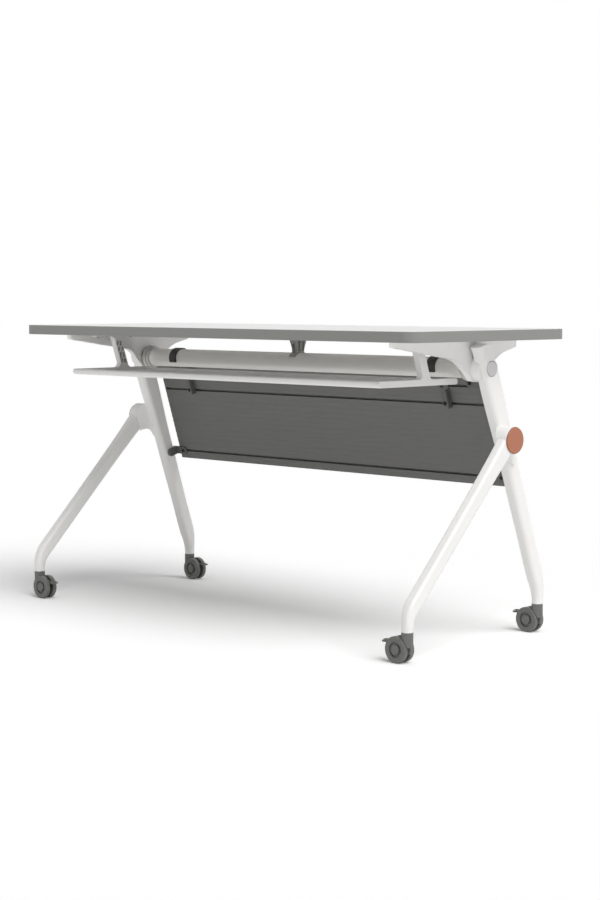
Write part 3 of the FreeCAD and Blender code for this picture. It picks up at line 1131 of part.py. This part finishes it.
def main():
    """Make every piece and write it."""
    os.makedirs("parts", exist_ok=True)

    export("table_top", make_table_top())
    export("edge_band", make_edge_band())
    both_ends("flip_bracket", make_flip_bracket())
    both_ends("hub_bush", make_hub_bush())
    export("mid_saddle", make_mid_saddle())
    both_ends("basket_end", make_basket_end())
    export("basket_tray", make_basket_tray())
    export("top_screw", Part.makeCompound([top_screw(x, y, seat) for x, y, seat in top_screw_places()]))

    export("crossbeam", make_crossbeam())
    long_leg = make_long_leg()
    both_ends("long_leg", long_leg)
    both_ends("front_leg", make_front_leg())
    bolt = make_leg_bolt()
    export("leg_bolt", Part.makeCompound([bolt, mirrored(bolt)]))
    both_ends("joint_cap", make_joint_cap())

    both_ends("release_button", make_release_button())
    both_ends("cross_pin", make_cross_pin())
    both_ends("lock_collar", make_lock_collar())
    both_ends("lock_spring", make_lock_spring())
    seat = make_spring_seat()
    export("spring_seat", Part.makeCompound([seat, mirrored(seat)]))

    export("modesty_panel", make_modesty_panel())
    screws = []
    for name, ref in (("left", -HOOK_REF_X), ("right", HOOK_REF_X)):
        export("beam_hook_" + name, make_beam_hook(ref))
        export("panel_hanger_" + name, make_panel_hanger(ref))
        screws += [panel_screw(x, z, HANGER_THICKNESS) for x, z in hanger_bolts(ref)]
    for level in ("upper", "lower"):
        both_ends("panel_bracket_" + level, make_panel_bracket(level, long_leg))
        x, z = bracket_bolt(level)
        screw = panel_screw(x, z, BRACKET_THICKNESS)
        screws += [screw, mirrored(screw)]
    export("panel_screw", Part.makeCompound(screws))

    corners = {
        "front_left": (-FRONT_FOOT_X, FRONT_FOOT_Y),
        "front_right": (FRONT_FOOT_X, FRONT_FOOT_Y),
        "rear_left": (-REAR_FOOT_X, REAR_FOOT_Y),
        "rear_right": (REAR_FOOT_X, REAR_FOOT_Y),
    }
    caster = make_caster()
    stems = []
    for name, (x, y) in corners.items():
        export("caster_housing_" + name, placed_caster(caster["housing"], x, y))
        export("caster_axle_" + name, placed_caster(caster["axle"], x, y))
        export("brake_pedal_" + name, placed_caster(caster["pedal"], x, y))
        turned_round = x > 0
        near = caster["wheel_far"] if turned_round else caster["wheel_near"]
        far = caster["wheel_near"] if turned_round else caster["wheel_far"]
        export("wheel_near_" + name, placed_caster(near, x, y))
        export("wheel_far_" + name, placed_caster(far, x, y))
        stems.append(placed_caster(caster["stem"], x, y))
    export("caster_stem", Part.makeCompound(stems))


main()
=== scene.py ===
"""Studio scene of a flip-top training table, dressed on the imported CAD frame."""

import logging
import math
from abc import ABC, abstractmethod
from collections.abc import Sequence
from dataclasses import dataclass
from enum import Enum

import bpy
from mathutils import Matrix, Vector

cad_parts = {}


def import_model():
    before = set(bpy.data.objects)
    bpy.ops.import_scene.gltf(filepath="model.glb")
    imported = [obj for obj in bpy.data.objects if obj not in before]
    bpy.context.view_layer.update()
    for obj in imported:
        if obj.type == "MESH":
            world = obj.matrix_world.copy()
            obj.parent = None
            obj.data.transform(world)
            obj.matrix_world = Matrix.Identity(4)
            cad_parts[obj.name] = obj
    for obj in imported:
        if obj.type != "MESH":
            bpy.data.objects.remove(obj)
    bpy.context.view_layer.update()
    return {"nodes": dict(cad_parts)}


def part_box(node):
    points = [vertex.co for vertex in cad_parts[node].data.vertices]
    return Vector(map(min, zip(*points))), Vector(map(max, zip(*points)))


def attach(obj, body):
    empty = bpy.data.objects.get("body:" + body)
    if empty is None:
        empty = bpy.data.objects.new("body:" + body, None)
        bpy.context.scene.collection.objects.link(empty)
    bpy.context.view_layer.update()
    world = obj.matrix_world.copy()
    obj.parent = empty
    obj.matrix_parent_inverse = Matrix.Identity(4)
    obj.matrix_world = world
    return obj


LOG = logging.getLogger("folding_desk")

MM = 0.001
SIDES = ("left", "right")
CORNERS = ("front_left", "front_right", "rear_left", "rear_right")
WHITE = "#FFFFFF"

# Constants of the sRGB curve
SRGB_TOP = 255
SRGB_KNEE = 0.04045
SRGB_SLOPE = 12.92
SRGB_OFFSET = 0.055
SRGB_POWER = 2.4


class Surface(Enum):
    """How a finish breaks up light."""

    POWDER_COAT = "powder_coat"
    MOULDED = "moulded"
    LAMINATE = "laminate"
    BRUSHED = "brushed"


@dataclass(frozen=True)
class Finish:
    """One real material.

    Args:
        name: plain name of the material.
        colour: sRGB hex colour as seen under even light.
        roughness: middle roughness of the surface.
        surface: kind of fine structure.
        metallic: share of bare metal.
        grain_mm: size of the fine structure.
        relief_mm: height of the fine structure.
        edge_mm: radius of the broken edges.
    """

    name: str
    colour: str
    roughness: float
    surface: Surface
    metallic: float = 0.0
    grain_mm: float = 1.0
    relief_mm: float = 0.01
    edge_mm: float = 0.5


@dataclass(frozen=True)
class Finishes:
    """Every material on the table."""

    # Melamine board face: a flat pale grey with a faint sheen and a fine pearl texture
    laminate: Finish = Finish("pale melamine laminate", "#E2E1E0", 0.42, Surface.LAMINATE,
                              grain_mm=0.6, relief_mm=0.004)
    # Extruded PVC edging: an even mid grey, a little softer in its shine than the board
    edging: Finish = Finish("grey PVC edging", "#8A8A87", 0.45, Surface.MOULDED,
                            grain_mm=1.2, relief_mm=0.006)
    # Powder coat on cast aluminium: clean white with soft highlights along the rounded edges
    white_coat: Finish = Finish("white powder coat on aluminium", "#F0EFED", 0.45, Surface.POWDER_COAT,
                                grain_mm=1.1, relief_mm=0.012, edge_mm=1.2)
    # Powder coat on steel tube: a warmer white than the castings, greyed by the board's shade
    grey_coat: Finish = Finish("pale grey powder coat on steel", "#F0EEE9", 0.4, Surface.POWDER_COAT,
                               grain_mm=1.1, relief_mm=0.012)
    # Powder coat on pressed steel straps: dull dark grey that nearly merges with the panel
    dark_coat: Finish = Finish("dark grey powder coat on steel", "#5C5D58", 0.5, Surface.POWDER_COAT,
                               relief_mm=0.012)
    # Moulded nylon with glass fibre: a flat grey without a clear highlight, dark only by its shade
    saddle: Finish = Finish("grey glass-filled nylon", "#A5A6A0", 0.5, Surface.MOULDED)
    # Moulded acetal rings: pale and slightly waxy beside the white brackets
    collar: Finish = Finish("pale acetal", "#CAC8C3", 0.45, Surface.MOULDED)
    # Extruded ABS panel: dark warm grey, its shallow ribs giving faint even lines
    panel: Finish = Finish("dark grey extruded ABS", "#666664", 0.5, Surface.MOULDED,
                           grain_mm=0.8, edge_mm=0.2)
    # Moulded nylon hooks and bushes: near black and soft
    black: Finish = Finish("black nylon", "#3C3D39", 0.5, Surface.MOULDED)
    # Moulded polyamide casters: mid grey with small satin highlights on the rims
    caster: Finish = Finish("mid grey polyamide", "#686965", 0.42, Surface.MOULDED,
                            grain_mm=0.9, edge_mm=0.4)
    # Painted copper-coloured cap: an even satin disc, more colour than mirror
    copper: Finish = Finish("satin copper paint", "#AE6D52", 0.4, Surface.BRUSHED,
                            grain_mm=0.5, relief_mm=0.002)
    # Painted shadow of the gap around the cap: a thin dark brown ring that parts the cap from the white boss,
    # drawn where that gap lies in shade
    rim: Finish = Finish("brown painted shadow ring", "#6A4335", 0.5, Surface.MOULDED)
    # Satin chromed zinc: a soft silver disc that takes on the white room
    silver: Finish = Finish("satin chrome on zinc", "#C2C2C2", 0.32, Surface.BRUSHED,
                            metallic=0.85, grain_mm=0.4, relief_mm=0.002)
    # Zinc plated steel: cool grey metal, seen only on hidden screws, stems and springs
    steel: Finish = Finish("zinc plated steel", "#A9ABAC", 0.35, Surface.BRUSHED,
                           metallic=1.0, grain_mm=0.4, relief_mm=0.002, edge_mm=0.2)
    # Black oxide steel: bolt heads that read as dark dots on the panel
    dark_steel: Finish = Finish("black oxide steel", "#2C2C2B", 0.45, Surface.BRUSHED,
                                metallic=0.6, grain_mm=0.4, relief_mm=0.002, edge_mm=0.2)


def linear(hex_colour: str) -> tuple[float, float, float, float]:
    """Turn an sRGB hex colour into linear light.

    Args:
        hex_colour: colour such as "#FFFFFF".

    Returns:
        Linear red, green, blue and an alpha of 1.
    """
    shares = [part / SRGB_TOP for part in bytes.fromhex(hex_colour[1:])]
    red, green, blue = [
        share / SRGB_SLOPE if share <= SRGB_KNEE
        else ((share + SRGB_OFFSET) / (1 + SRGB_OFFSET)) ** SRGB_POWER
        for share in shares]
    return red, green, blue, 1.0


def add_node(tree: bpy.types.NodeTree, kind: str, links: dict | None = None,
             **values: object) -> bpy.types.Node:
    """Add a node and set it up.

    Args:
        tree: node tree to add to.
        kind: Blender's name of the node type.
        links: output sockets to join, by input name or number.
        values: node properties, or input values by name with underscores for spaces.

    Returns:
        The new node.
    """
    node = tree.nodes.new(kind)
    for name, value in values.items():
        if hasattr(node, name):
            setattr(node, name, value)
        else:
            node.inputs[name.replace("_", " ")].default_value = value
    for name, socket in (links or {}).items():
        tree.links.new(socket, node.inputs[name])
    return node


class MaterialShop:
    """Builds each material once."""

    CLOUD_MM = 90.0
    CLOUD_TINT = 0.015
    CLOUD_ROUGHNESS = 0.04
    CLOUD_DETAIL = 2.0
    EDGE_SAMPLES = 4
    RELIEF_STRENGTH = 0.35
    BRUSH_STRETCH = 0.05
    GRAIN_DETAIL = {Surface.BRUSHED: 1.0, Surface.POWDER_COAT: 2.0, Surface.MOULDED: 4.0}

    def __init__(self) -> None:
        """Start with no materials."""
        self._made: dict[str, bpy.types.Material] = {}

    def get(self, finish: Finish) -> bpy.types.Material:
        """Return the material of a finish.

        Args:
            finish: the finish to build.

        Returns:
            A procedural material in object coordinates.
        """
        if finish.name not in self._made:
            self._made[finish.name] = self._build(finish)
        return self._made[finish.name]

    def _build(self, finish: Finish) -> bpy.types.Material:
        """Make a material: cloudy colour and roughness, fine relief and broken edges.

        Args:
            finish: the finish to build.

        Returns:
            The new material.
        """
        material = bpy.data.materials.new(finish.name)
        material.use_nodes = True
        material.diffuse_color = linear(finish.colour)
        tree = material.node_tree
        tree.nodes.clear()
        place = add_node(tree, "ShaderNodeTexCoord").outputs["Object"]
        grain = self._grain(tree, place, finish)
        cloud = add_node(tree, "ShaderNodeTexNoise", {"Vector": place},
                         Scale=1 / (self.CLOUD_MM * MM), Detail=self.CLOUD_DETAIL)
        tint = add_node(tree, "ShaderNodeMapRange", {"Value": cloud.outputs["Fac"]},
                        To_Min=1 - self.CLOUD_TINT, To_Max=1 + self.CLOUD_TINT)
        colour = add_node(tree, "ShaderNodeHueSaturation", {"Value": tint.outputs["Result"]},
                          Color=linear(finish.colour))
        rough = add_node(tree, "ShaderNodeMapRange", {"Value": cloud.outputs["Fac"]},
                         To_Min=finish.roughness - self.CLOUD_ROUGHNESS,
                         To_Max=finish.roughness + self.CLOUD_ROUGHNESS)
        edges = add_node(tree, "ShaderNodeBevel", samples=self.EDGE_SAMPLES, Radius=finish.edge_mm * MM)
        relief = add_node(tree, "ShaderNodeBump", {"Height": grain, "Normal": edges.outputs["Normal"]},
                          Strength=self.RELIEF_STRENGTH, Distance=finish.relief_mm * MM)
        shader = add_node(
            tree, "ShaderNodeBsdfPrincipled",
            {"Base Color": colour.outputs["Color"], "Roughness": rough.outputs["Result"],
             "Normal": relief.outputs["Normal"]},
            Metallic=finish.metallic)
        add_node(tree, "ShaderNodeOutputMaterial", {"Surface": shader.outputs["BSDF"]})
        return material

    def _grain(self, tree: bpy.types.NodeTree, place: bpy.types.NodeSocket,
               finish: Finish) -> bpy.types.NodeSocket:
        """Add the fine structure, drawn a little coarser than real so that it shows.

        Args:
            tree: node tree of the material.
            place: object coordinates.
            finish: the finish to build.

        Returns:
            The height of the structure.
        """
        scale = 1 / (finish.grain_mm * MM)
        if finish.surface is Surface.LAMINATE:
            return add_node(tree, "ShaderNodeTexVoronoi", {"Vector": place}, Scale=scale).outputs["Distance"]
        if finish.surface is Surface.BRUSHED:
            stretch = (self.BRUSH_STRETCH, 1.0, 1.0)
            place = add_node(tree, "ShaderNodeMapping", {"Vector": place}, Scale=stretch).outputs["Vector"]
        noise = add_node(tree, "ShaderNodeTexNoise", {"Vector": place},
                         Scale=scale, Detail=self.GRAIN_DETAIL[finish.surface])
        return noise.outputs["Fac"]


class PieceTree:
    """A geometry node tree with named inputs that ends in real, painted geometry."""

    KINDS = {int: "NodeSocketInt", float: "NodeSocketFloat", Vector: "NodeSocketVector"}

    def __init__(self, name: str, inputs: dict[str, type]) -> None:
        """Open the tree.

        Args:
            name: name of the tree.
            inputs: type of each size by its name.
        """
        self.tree = bpy.data.node_groups.new(name, "GeometryNodeTree")
        for label, kind in inputs.items():
            self.tree.interface.new_socket(label, in_out="INPUT", socket_type=self.KINDS[kind])
        self.tree.interface.new_socket("Finish", in_out="INPUT", socket_type="NodeSocketMaterial")
        self.tree.interface.new_socket("Geometry", in_out="OUTPUT", socket_type="NodeSocketGeometry")
        self.given = self.tree.nodes.new("NodeGroupInput").outputs

    def close(self, geometry: bpy.types.NodeSocket) -> None:
        """End the tree: make instances real, set the material and give the result out.

        Args:
            geometry: the shape to finish.
        """
        real = add_node(self.tree, "GeometryNodeRealizeInstances", {"Geometry": geometry})
        painted = add_node(self.tree, "GeometryNodeSetMaterial",
                           {"Geometry": real.outputs["Geometry"], "Material": self.given["Finish"]})
        add_node(self.tree, "NodeGroupOutput", {"Geometry": painted.outputs["Geometry"]})

    def realise(self, name: str, values: dict[str, object]) -> bpy.types.Object:
        """Run the tree once and keep its mesh.

        Args:
            name: name of the new piece.
            values: value of each input by name.

        Returns:
            A plain mesh object at the origin.
        """
        holder = bpy.data.objects.new(name + "_source", bpy.data.meshes.new(name + "_source"))
        bpy.context.scene.collection.objects.link(holder)
        modifier = holder.modifiers.new("build", "NODES")
        modifier.node_group = self.tree
        for item in self.tree.interface.items_tree:
            if item.in_out == "INPUT":
                modifier[item.identifier] = values[item.name]
        graph = bpy.context.evaluated_depsgraph_get()
        graph.update()
        mesh = bpy.data.meshes.new_from_object(holder.evaluated_get(graph))
        holder.modifiers.clear()
        bpy.data.objects.remove(holder)
        piece = bpy.data.objects.new(name, mesh)
        bpy.context.scene.collection.objects.link(piece)
        return piece


@dataclass
class SubAssembly(ABC):
    """CAD nodes that stand or move together, with the small pieces added to them.

    Args:
        finishes: every material on the table.
    """

    finishes: Finishes

    @abstractmethod
    def node_finishes(self) -> dict[str, Finish]:
        """Return the finish of each CAD node by its name."""

    def build(self, shop: MaterialShop) -> None:
        """Make the added pieces; most sub-assemblies have none."""

    def dress(self, shop: MaterialShop, nodes: dict[str, bpy.types.Object]) -> None:
        """Give every CAD node its material.

        Args:
            shop: source of materials.
            nodes: CAD objects by node name.
        """
        finishes = self.node_finishes()
        for node, finish in finishes.items():
            mesh = nodes[node].data
            mesh.materials.clear()
            mesh.materials.append(shop.get(finish))
        LOG.info("%s: %d nodes dressed", type(self).__name__, len(finishes))


@dataclass
class FlipTop(SubAssembly):
    """The board with everything that flips with it."""

    def node_finishes(self) -> dict[str, Finish]:
        """Return the finish of each CAD node by its name."""
        f = self.finishes
        parts = {"table_top": f.laminate, "edge_band": f.edging, "mid_saddle": f.saddle,
                 "basket_tray": f.white_coat, "top_screw": f.steel}
        for side in SIDES:
            parts["flip_bracket_" + side] = f.white_coat
            parts["hub_bush_" + side] = f.black
            parts["basket_end_" + side] = f.white_coat
        return parts


@dataclass
class LegFrame(SubAssembly):
    """Legs, beam and panel, with a thin dark ring of painted shadow around each copper cap.

    Args:
        cap_mm: how far a cap stands out of its boss.
        rim_mm: radius of the rim's section.
        rim_steps: sides of the rim's ring.
        section_steps: sides of the rim's section.
    """

    cap_mm: float = 3.0
    rim_mm: float = 0.8
    rim_steps: int = 96
    section_steps: int = 12

    def node_finishes(self) -> dict[str, Finish]:
        """Return the finish of each CAD node by its name."""
        f = self.finishes
        parts = {"crossbeam": f.grey_coat, "leg_bolt": f.steel, "spring_seat": f.black,
                 "modesty_panel": f.panel, "panel_screw": f.dark_steel, "caster_stem": f.steel}
        for side in SIDES:
            parts["long_leg_" + side] = f.white_coat
            parts["front_leg_" + side] = f.white_coat
            parts["joint_cap_" + side] = f.copper
            parts["beam_hook_" + side] = f.black
            parts["panel_hanger_" + side] = f.dark_coat
            parts["panel_bracket_upper_" + side] = f.dark_coat
            parts["panel_bracket_lower_" + side] = f.dark_coat
            parts["lock_spring_" + side] = f.steel
        return parts

    def build(self, shop: MaterialShop) -> None:
        """Make the painted shadow rings around both caps.

        Args:
            shop: source of materials.
        """
        tree = self._shadow_ring_tree()
        for side in SIDES:
            low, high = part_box("joint_cap_" + side)
            outward = -1 if side == "left" else 1
            face = low.x if side == "left" else high.x
            centre = (low + high) / 2
            # The ring lies on the boss face in the gap around the cap; its dark brown is painted shadow of
            # that gap
            centre.x = face - outward * (self.cap_mm - self.rim_mm / 2) * MM
            values = {"Centre": centre, "Radius": (high.z - low.z) / 2, "Section": self.rim_mm * MM,
                      "Steps": self.rim_steps, "Section Steps": self.section_steps,
                      "Finish": shop.get(self.finishes.rim)}
            rim = tree.realise("cap_shadow_ring_" + side, values)
            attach(rim, "leg_frame")
            LOG.info("%s made", rim.name)

    @staticmethod
    def _shadow_ring_tree() -> PieceTree:
        """Return the tree of a round ring that faces along X."""
        piece = PieceTree("cap shadow ring", {"Centre": Vector, "Radius": float, "Section": float, "Steps": int,
                                      "Section Steps": int})
        tree, given = piece.tree, piece.given
        ring = add_node(tree, "GeometryNodeCurvePrimitiveCircle",
                        {"Radius": given["Radius"], "Resolution": given["Steps"]})
        section = add_node(tree, "GeometryNodeCurvePrimitiveCircle",
                           {"Radius": given["Section"], "Resolution": given["Section Steps"]})
        tube = add_node(tree, "GeometryNodeCurveToMesh",
                        {"Curve": ring.outputs["Curve"], "Profile Curve": section.outputs["Curve"]})
        placed = add_node(tree, "GeometryNodeTransform",
                          {"Geometry": tube.outputs["Mesh"], "Translation": given["Centre"]},
                          Rotation=(0.0, math.pi / 2, 0.0))
        piece.close(placed.outputs["Geometry"])
        return piece


@dataclass
class Releases(SubAssembly):
    """Buttons, pins and collars of the lock."""

    def node_finishes(self) -> dict[str, Finish]:
        """Return the finish of each CAD node by its name."""
        f = self.finishes
        parts = {}
        for side in SIDES:
            parts["release_button_" + side] = f.silver
            parts["cross_pin_" + side] = f.steel
            parts["lock_collar_" + side] = f.collar
        return parts


@dataclass
class Casters(SubAssembly):
    """The four twin-wheel casters, with grip ribs across each brake pedal's pad.

    Args:
        rib_count: ribs on one pad.
        pitch_mm: distance between ribs.
        rib_mm: width, length and full height of a rib.
        sunk_mm: how far a rib is sunk into the pad.
        edge_mm: first rib's distance from the pad's tip.
    """

    rib_count: int = 4
    pitch_mm: float = 2.4
    rib_mm: tuple[float, float, float] = (1.0, 14.0, 1.0)
    sunk_mm: float = 0.4
    edge_mm: float = 3.2

    def node_finishes(self) -> dict[str, Finish]:
        """Return the finish of each CAD node by its name."""
        f = self.finishes
        parts = {}
        for corner in CORNERS:
            parts["caster_housing_" + corner] = f.caster
            parts["caster_axle_" + corner] = f.steel
            parts["wheel_near_" + corner] = f.caster
            parts["wheel_far_" + corner] = f.caster
            parts["brake_pedal_" + corner] = f.caster
        return parts

    def build(self, shop: MaterialShop) -> None:
        """Make the ribs of all four pedals.

        Args:
            shop: source of materials.
        """
        tree = self._rib_tree()
        rib = Vector(self.rib_mm) * MM
        for corner in CORNERS:
            low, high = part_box("brake_pedal_" + corner)
            inward = 1 if corner.endswith("left") else -1
            tip = high.x if inward > 0 else low.x
            first = Vector((tip - inward * self.edge_mm * MM, (low.y + high.y) / 2,
                            high.z + rib.z / 2 - self.sunk_mm * MM))
            values = {"Count": self.rib_count, "Pitch": Vector((-inward * self.pitch_mm * MM, 0, 0)),
                      "First": first, "Rib": rib, "Finish": shop.get(self.finishes.caster)}
            ribs = tree.realise("pedal_ribs_" + corner, values)
            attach(ribs, "brake_" + corner)
            LOG.info("%s made", ribs.name)

    @staticmethod
    def _rib_tree() -> PieceTree:
        """Return the tree of a straight row of ribs."""
        piece = PieceTree("pedal ribs", {"Count": int, "Pitch": Vector, "First": Vector, "Rib": Vector})
        tree, given = piece.tree, piece.given
        line = add_node(tree, "GeometryNodeMeshLine",
                        {"Count": given["Count"], "Start Location": given["First"], "Offset": given["Pitch"]})
        rib = add_node(tree, "GeometryNodeMeshCube", {"Size": given["Rib"]})
        row = add_node(tree, "GeometryNodeInstanceOnPoints",
                       {"Points": line.outputs["Mesh"], "Instance": rib.outputs["Mesh"]})
        piece.close(row.outputs["Instances"])
        return piece


@dataclass(frozen=True)
class Lamp:
    """One broad lamp.

    Args:
        name: plain name of the lamp.
        source: direction that its light comes from.
        angle_deg: how broad it looks from the table.
        strength: its power as a sun lamp.
    """

    name: str
    source: tuple[float, float, float]
    angle_deg: float
    strength: float


@dataclass(frozen=True)
class Studio:
    """Camera, floor and light like the photo's.

    Args:
        eye_m: camera place.
        yaw_deg: turn of the view to the left of +Y.
        pitch_deg: tilt of the view downwards.
        lens_mm: focal length.
        sensor_mm: width of the camera's frame.
        clip_m: how far the camera sees.
        floor_half_m: half the side of the floor.
        floor_colour: sRGB hex colour of the floor.
        floor_lift: white added where the camera sees the floor.
        world_strength: even light from all around.
        backdrop_strength: white that the camera and mirror images see behind the table.
        lamps: the lamps.
        lamp_distance_m: how far off the lamps stand.
    """

    eye_m: tuple[float, float, float] = (3.4407, -3.4147, 0.8320)
    yaw_deg: float = 44.595
    pitch_deg: float = 4.7345
    lens_mm: float = 74.97
    sensor_mm: float = 36.0
    clip_m: float = 200.0
    floor_half_m: float = 40.0
    floor_colour: str = WHITE
    floor_lift: float = 0.085
    world_strength: float = 0.30
    backdrop_strength: float = 1.0
    lamps: tuple[Lamp, ...] = (Lamp("key", (0.78, -0.08, 1.1), 45.0, 2.35),
                               Lamp("low front fill", (-0.2, -1.0, 0.04), 15.0, 0.2))
    lamp_distance_m: float = 4.0

    def build(self) -> None:
        """Set up the whole studio."""
        self._camera()
        self._floor()
        self._world()
        self._lights()
        bpy.context.scene.view_settings.view_transform = "Standard"
        LOG.info("studio: camera, floor and %d lamps set", len(self.lamps))

    def _camera(self) -> None:
        """Place the camera where the photo was taken from."""
        data = bpy.data.cameras.new("photo camera")
        data.lens = self.lens_mm
        data.sensor_width = self.sensor_mm
        data.clip_end = self.clip_m
        camera = bpy.data.objects.new("photo camera", data)
        camera.location = self.eye_m
        camera.rotation_euler = (math.radians(90 - self.pitch_deg), 0, math.radians(self.yaw_deg))
        bpy.context.scene.collection.objects.link(camera)
        bpy.context.scene.camera = camera

    def _floor(self) -> None:
        """Lay a matt white floor that keeps the table's shadow and has no horizon."""
        h = self.floor_half_m
        mesh = bpy.data.meshes.new("floor")
        mesh.from_pydata([(-h, -h, 0), (h, -h, 0), (h, h, 0), (-h, h, 0)], [], [(0, 1, 2, 3)])
        floor = bpy.data.objects.new("floor", mesh)
        bpy.context.scene.collection.objects.link(floor)
        material = bpy.data.materials.new("matt white paper floor")
        material.use_nodes = True
        tree = material.node_tree
        tree.nodes.clear()
        paper = add_node(tree, "ShaderNodeBsdfDiffuse", Color=linear(self.floor_colour))
        seen = add_node(tree, "ShaderNodeLightPath").outputs["Is Camera Ray"]
        lift = add_node(tree, "ShaderNodeMapRange", {"Value": seen}, To_Max=self.floor_lift)
        white = add_node(tree, "ShaderNodeEmission", {"Strength": lift.outputs["Result"]},
                         Color=linear(self.floor_colour))
        both = add_node(tree, "ShaderNodeAddShader", {0: paper.outputs["BSDF"], 1: white.outputs["Emission"]})
        add_node(tree, "ShaderNodeOutputMaterial", {"Surface": both.outputs["Shader"]})
        mesh.materials.append(material)

    def _world(self) -> None:
        """Light the table evenly, with white behind it for the eye and for mirror images."""
        world = bpy.data.worlds.new("studio")
        world.use_nodes = True
        tree = world.node_tree
        tree.nodes.clear()
        path = add_node(tree, "ShaderNodeLightPath").outputs
        mirrored = add_node(tree, "ShaderNodeMath",
                            {0: path["Is Glossy Ray"], 1: path["Is Transmission Ray"]}, operation="MAXIMUM")
        seen = add_node(tree, "ShaderNodeMath", {0: path["Is Camera Ray"], 1: mirrored.outputs["Value"]},
                        operation="MAXIMUM")
        strength = add_node(tree, "ShaderNodeMapRange", {"Value": seen.outputs["Value"]},
                            To_Min=self.world_strength, To_Max=self.backdrop_strength)
        light = add_node(tree, "ShaderNodeBackground", {"Strength": strength.outputs["Result"]},
                         Color=linear(WHITE))
        add_node(tree, "ShaderNodeOutputWorld", {"Surface": light.outputs["Background"]})
        bpy.context.scene.world = world

    def _lights(self) -> None:
        """Hang the lamps, each pointing at the table."""
        for lamp in self.lamps:
            data = bpy.data.lights.new(lamp.name, "SUN")
            data.angle = math.radians(lamp.angle_deg)
            data.energy = lamp.strength
            source = Vector(lamp.source)
            holder = bpy.data.objects.new(lamp.name, data)
            holder.location = source * self.lamp_distance_m
            holder.rotation_euler = (-source).to_track_quat("-Z", "Y").to_euler()
            bpy.context.scene.collection.objects.link(holder)


def main() -> None:
    """Dress the frame, add the small pieces and set the studio."""
    logging.basicConfig(level=logging.INFO)
    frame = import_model()
    finishes = Finishes()
    shop = MaterialShop()
    for kind in (FlipTop, LegFrame, Releases, Casters):
        assembly = kind(finishes)
        assembly.dress(shop, frame["nodes"])
        assembly.build(shop)
    Studio().build()


if __name__ == "__main__":
    main()
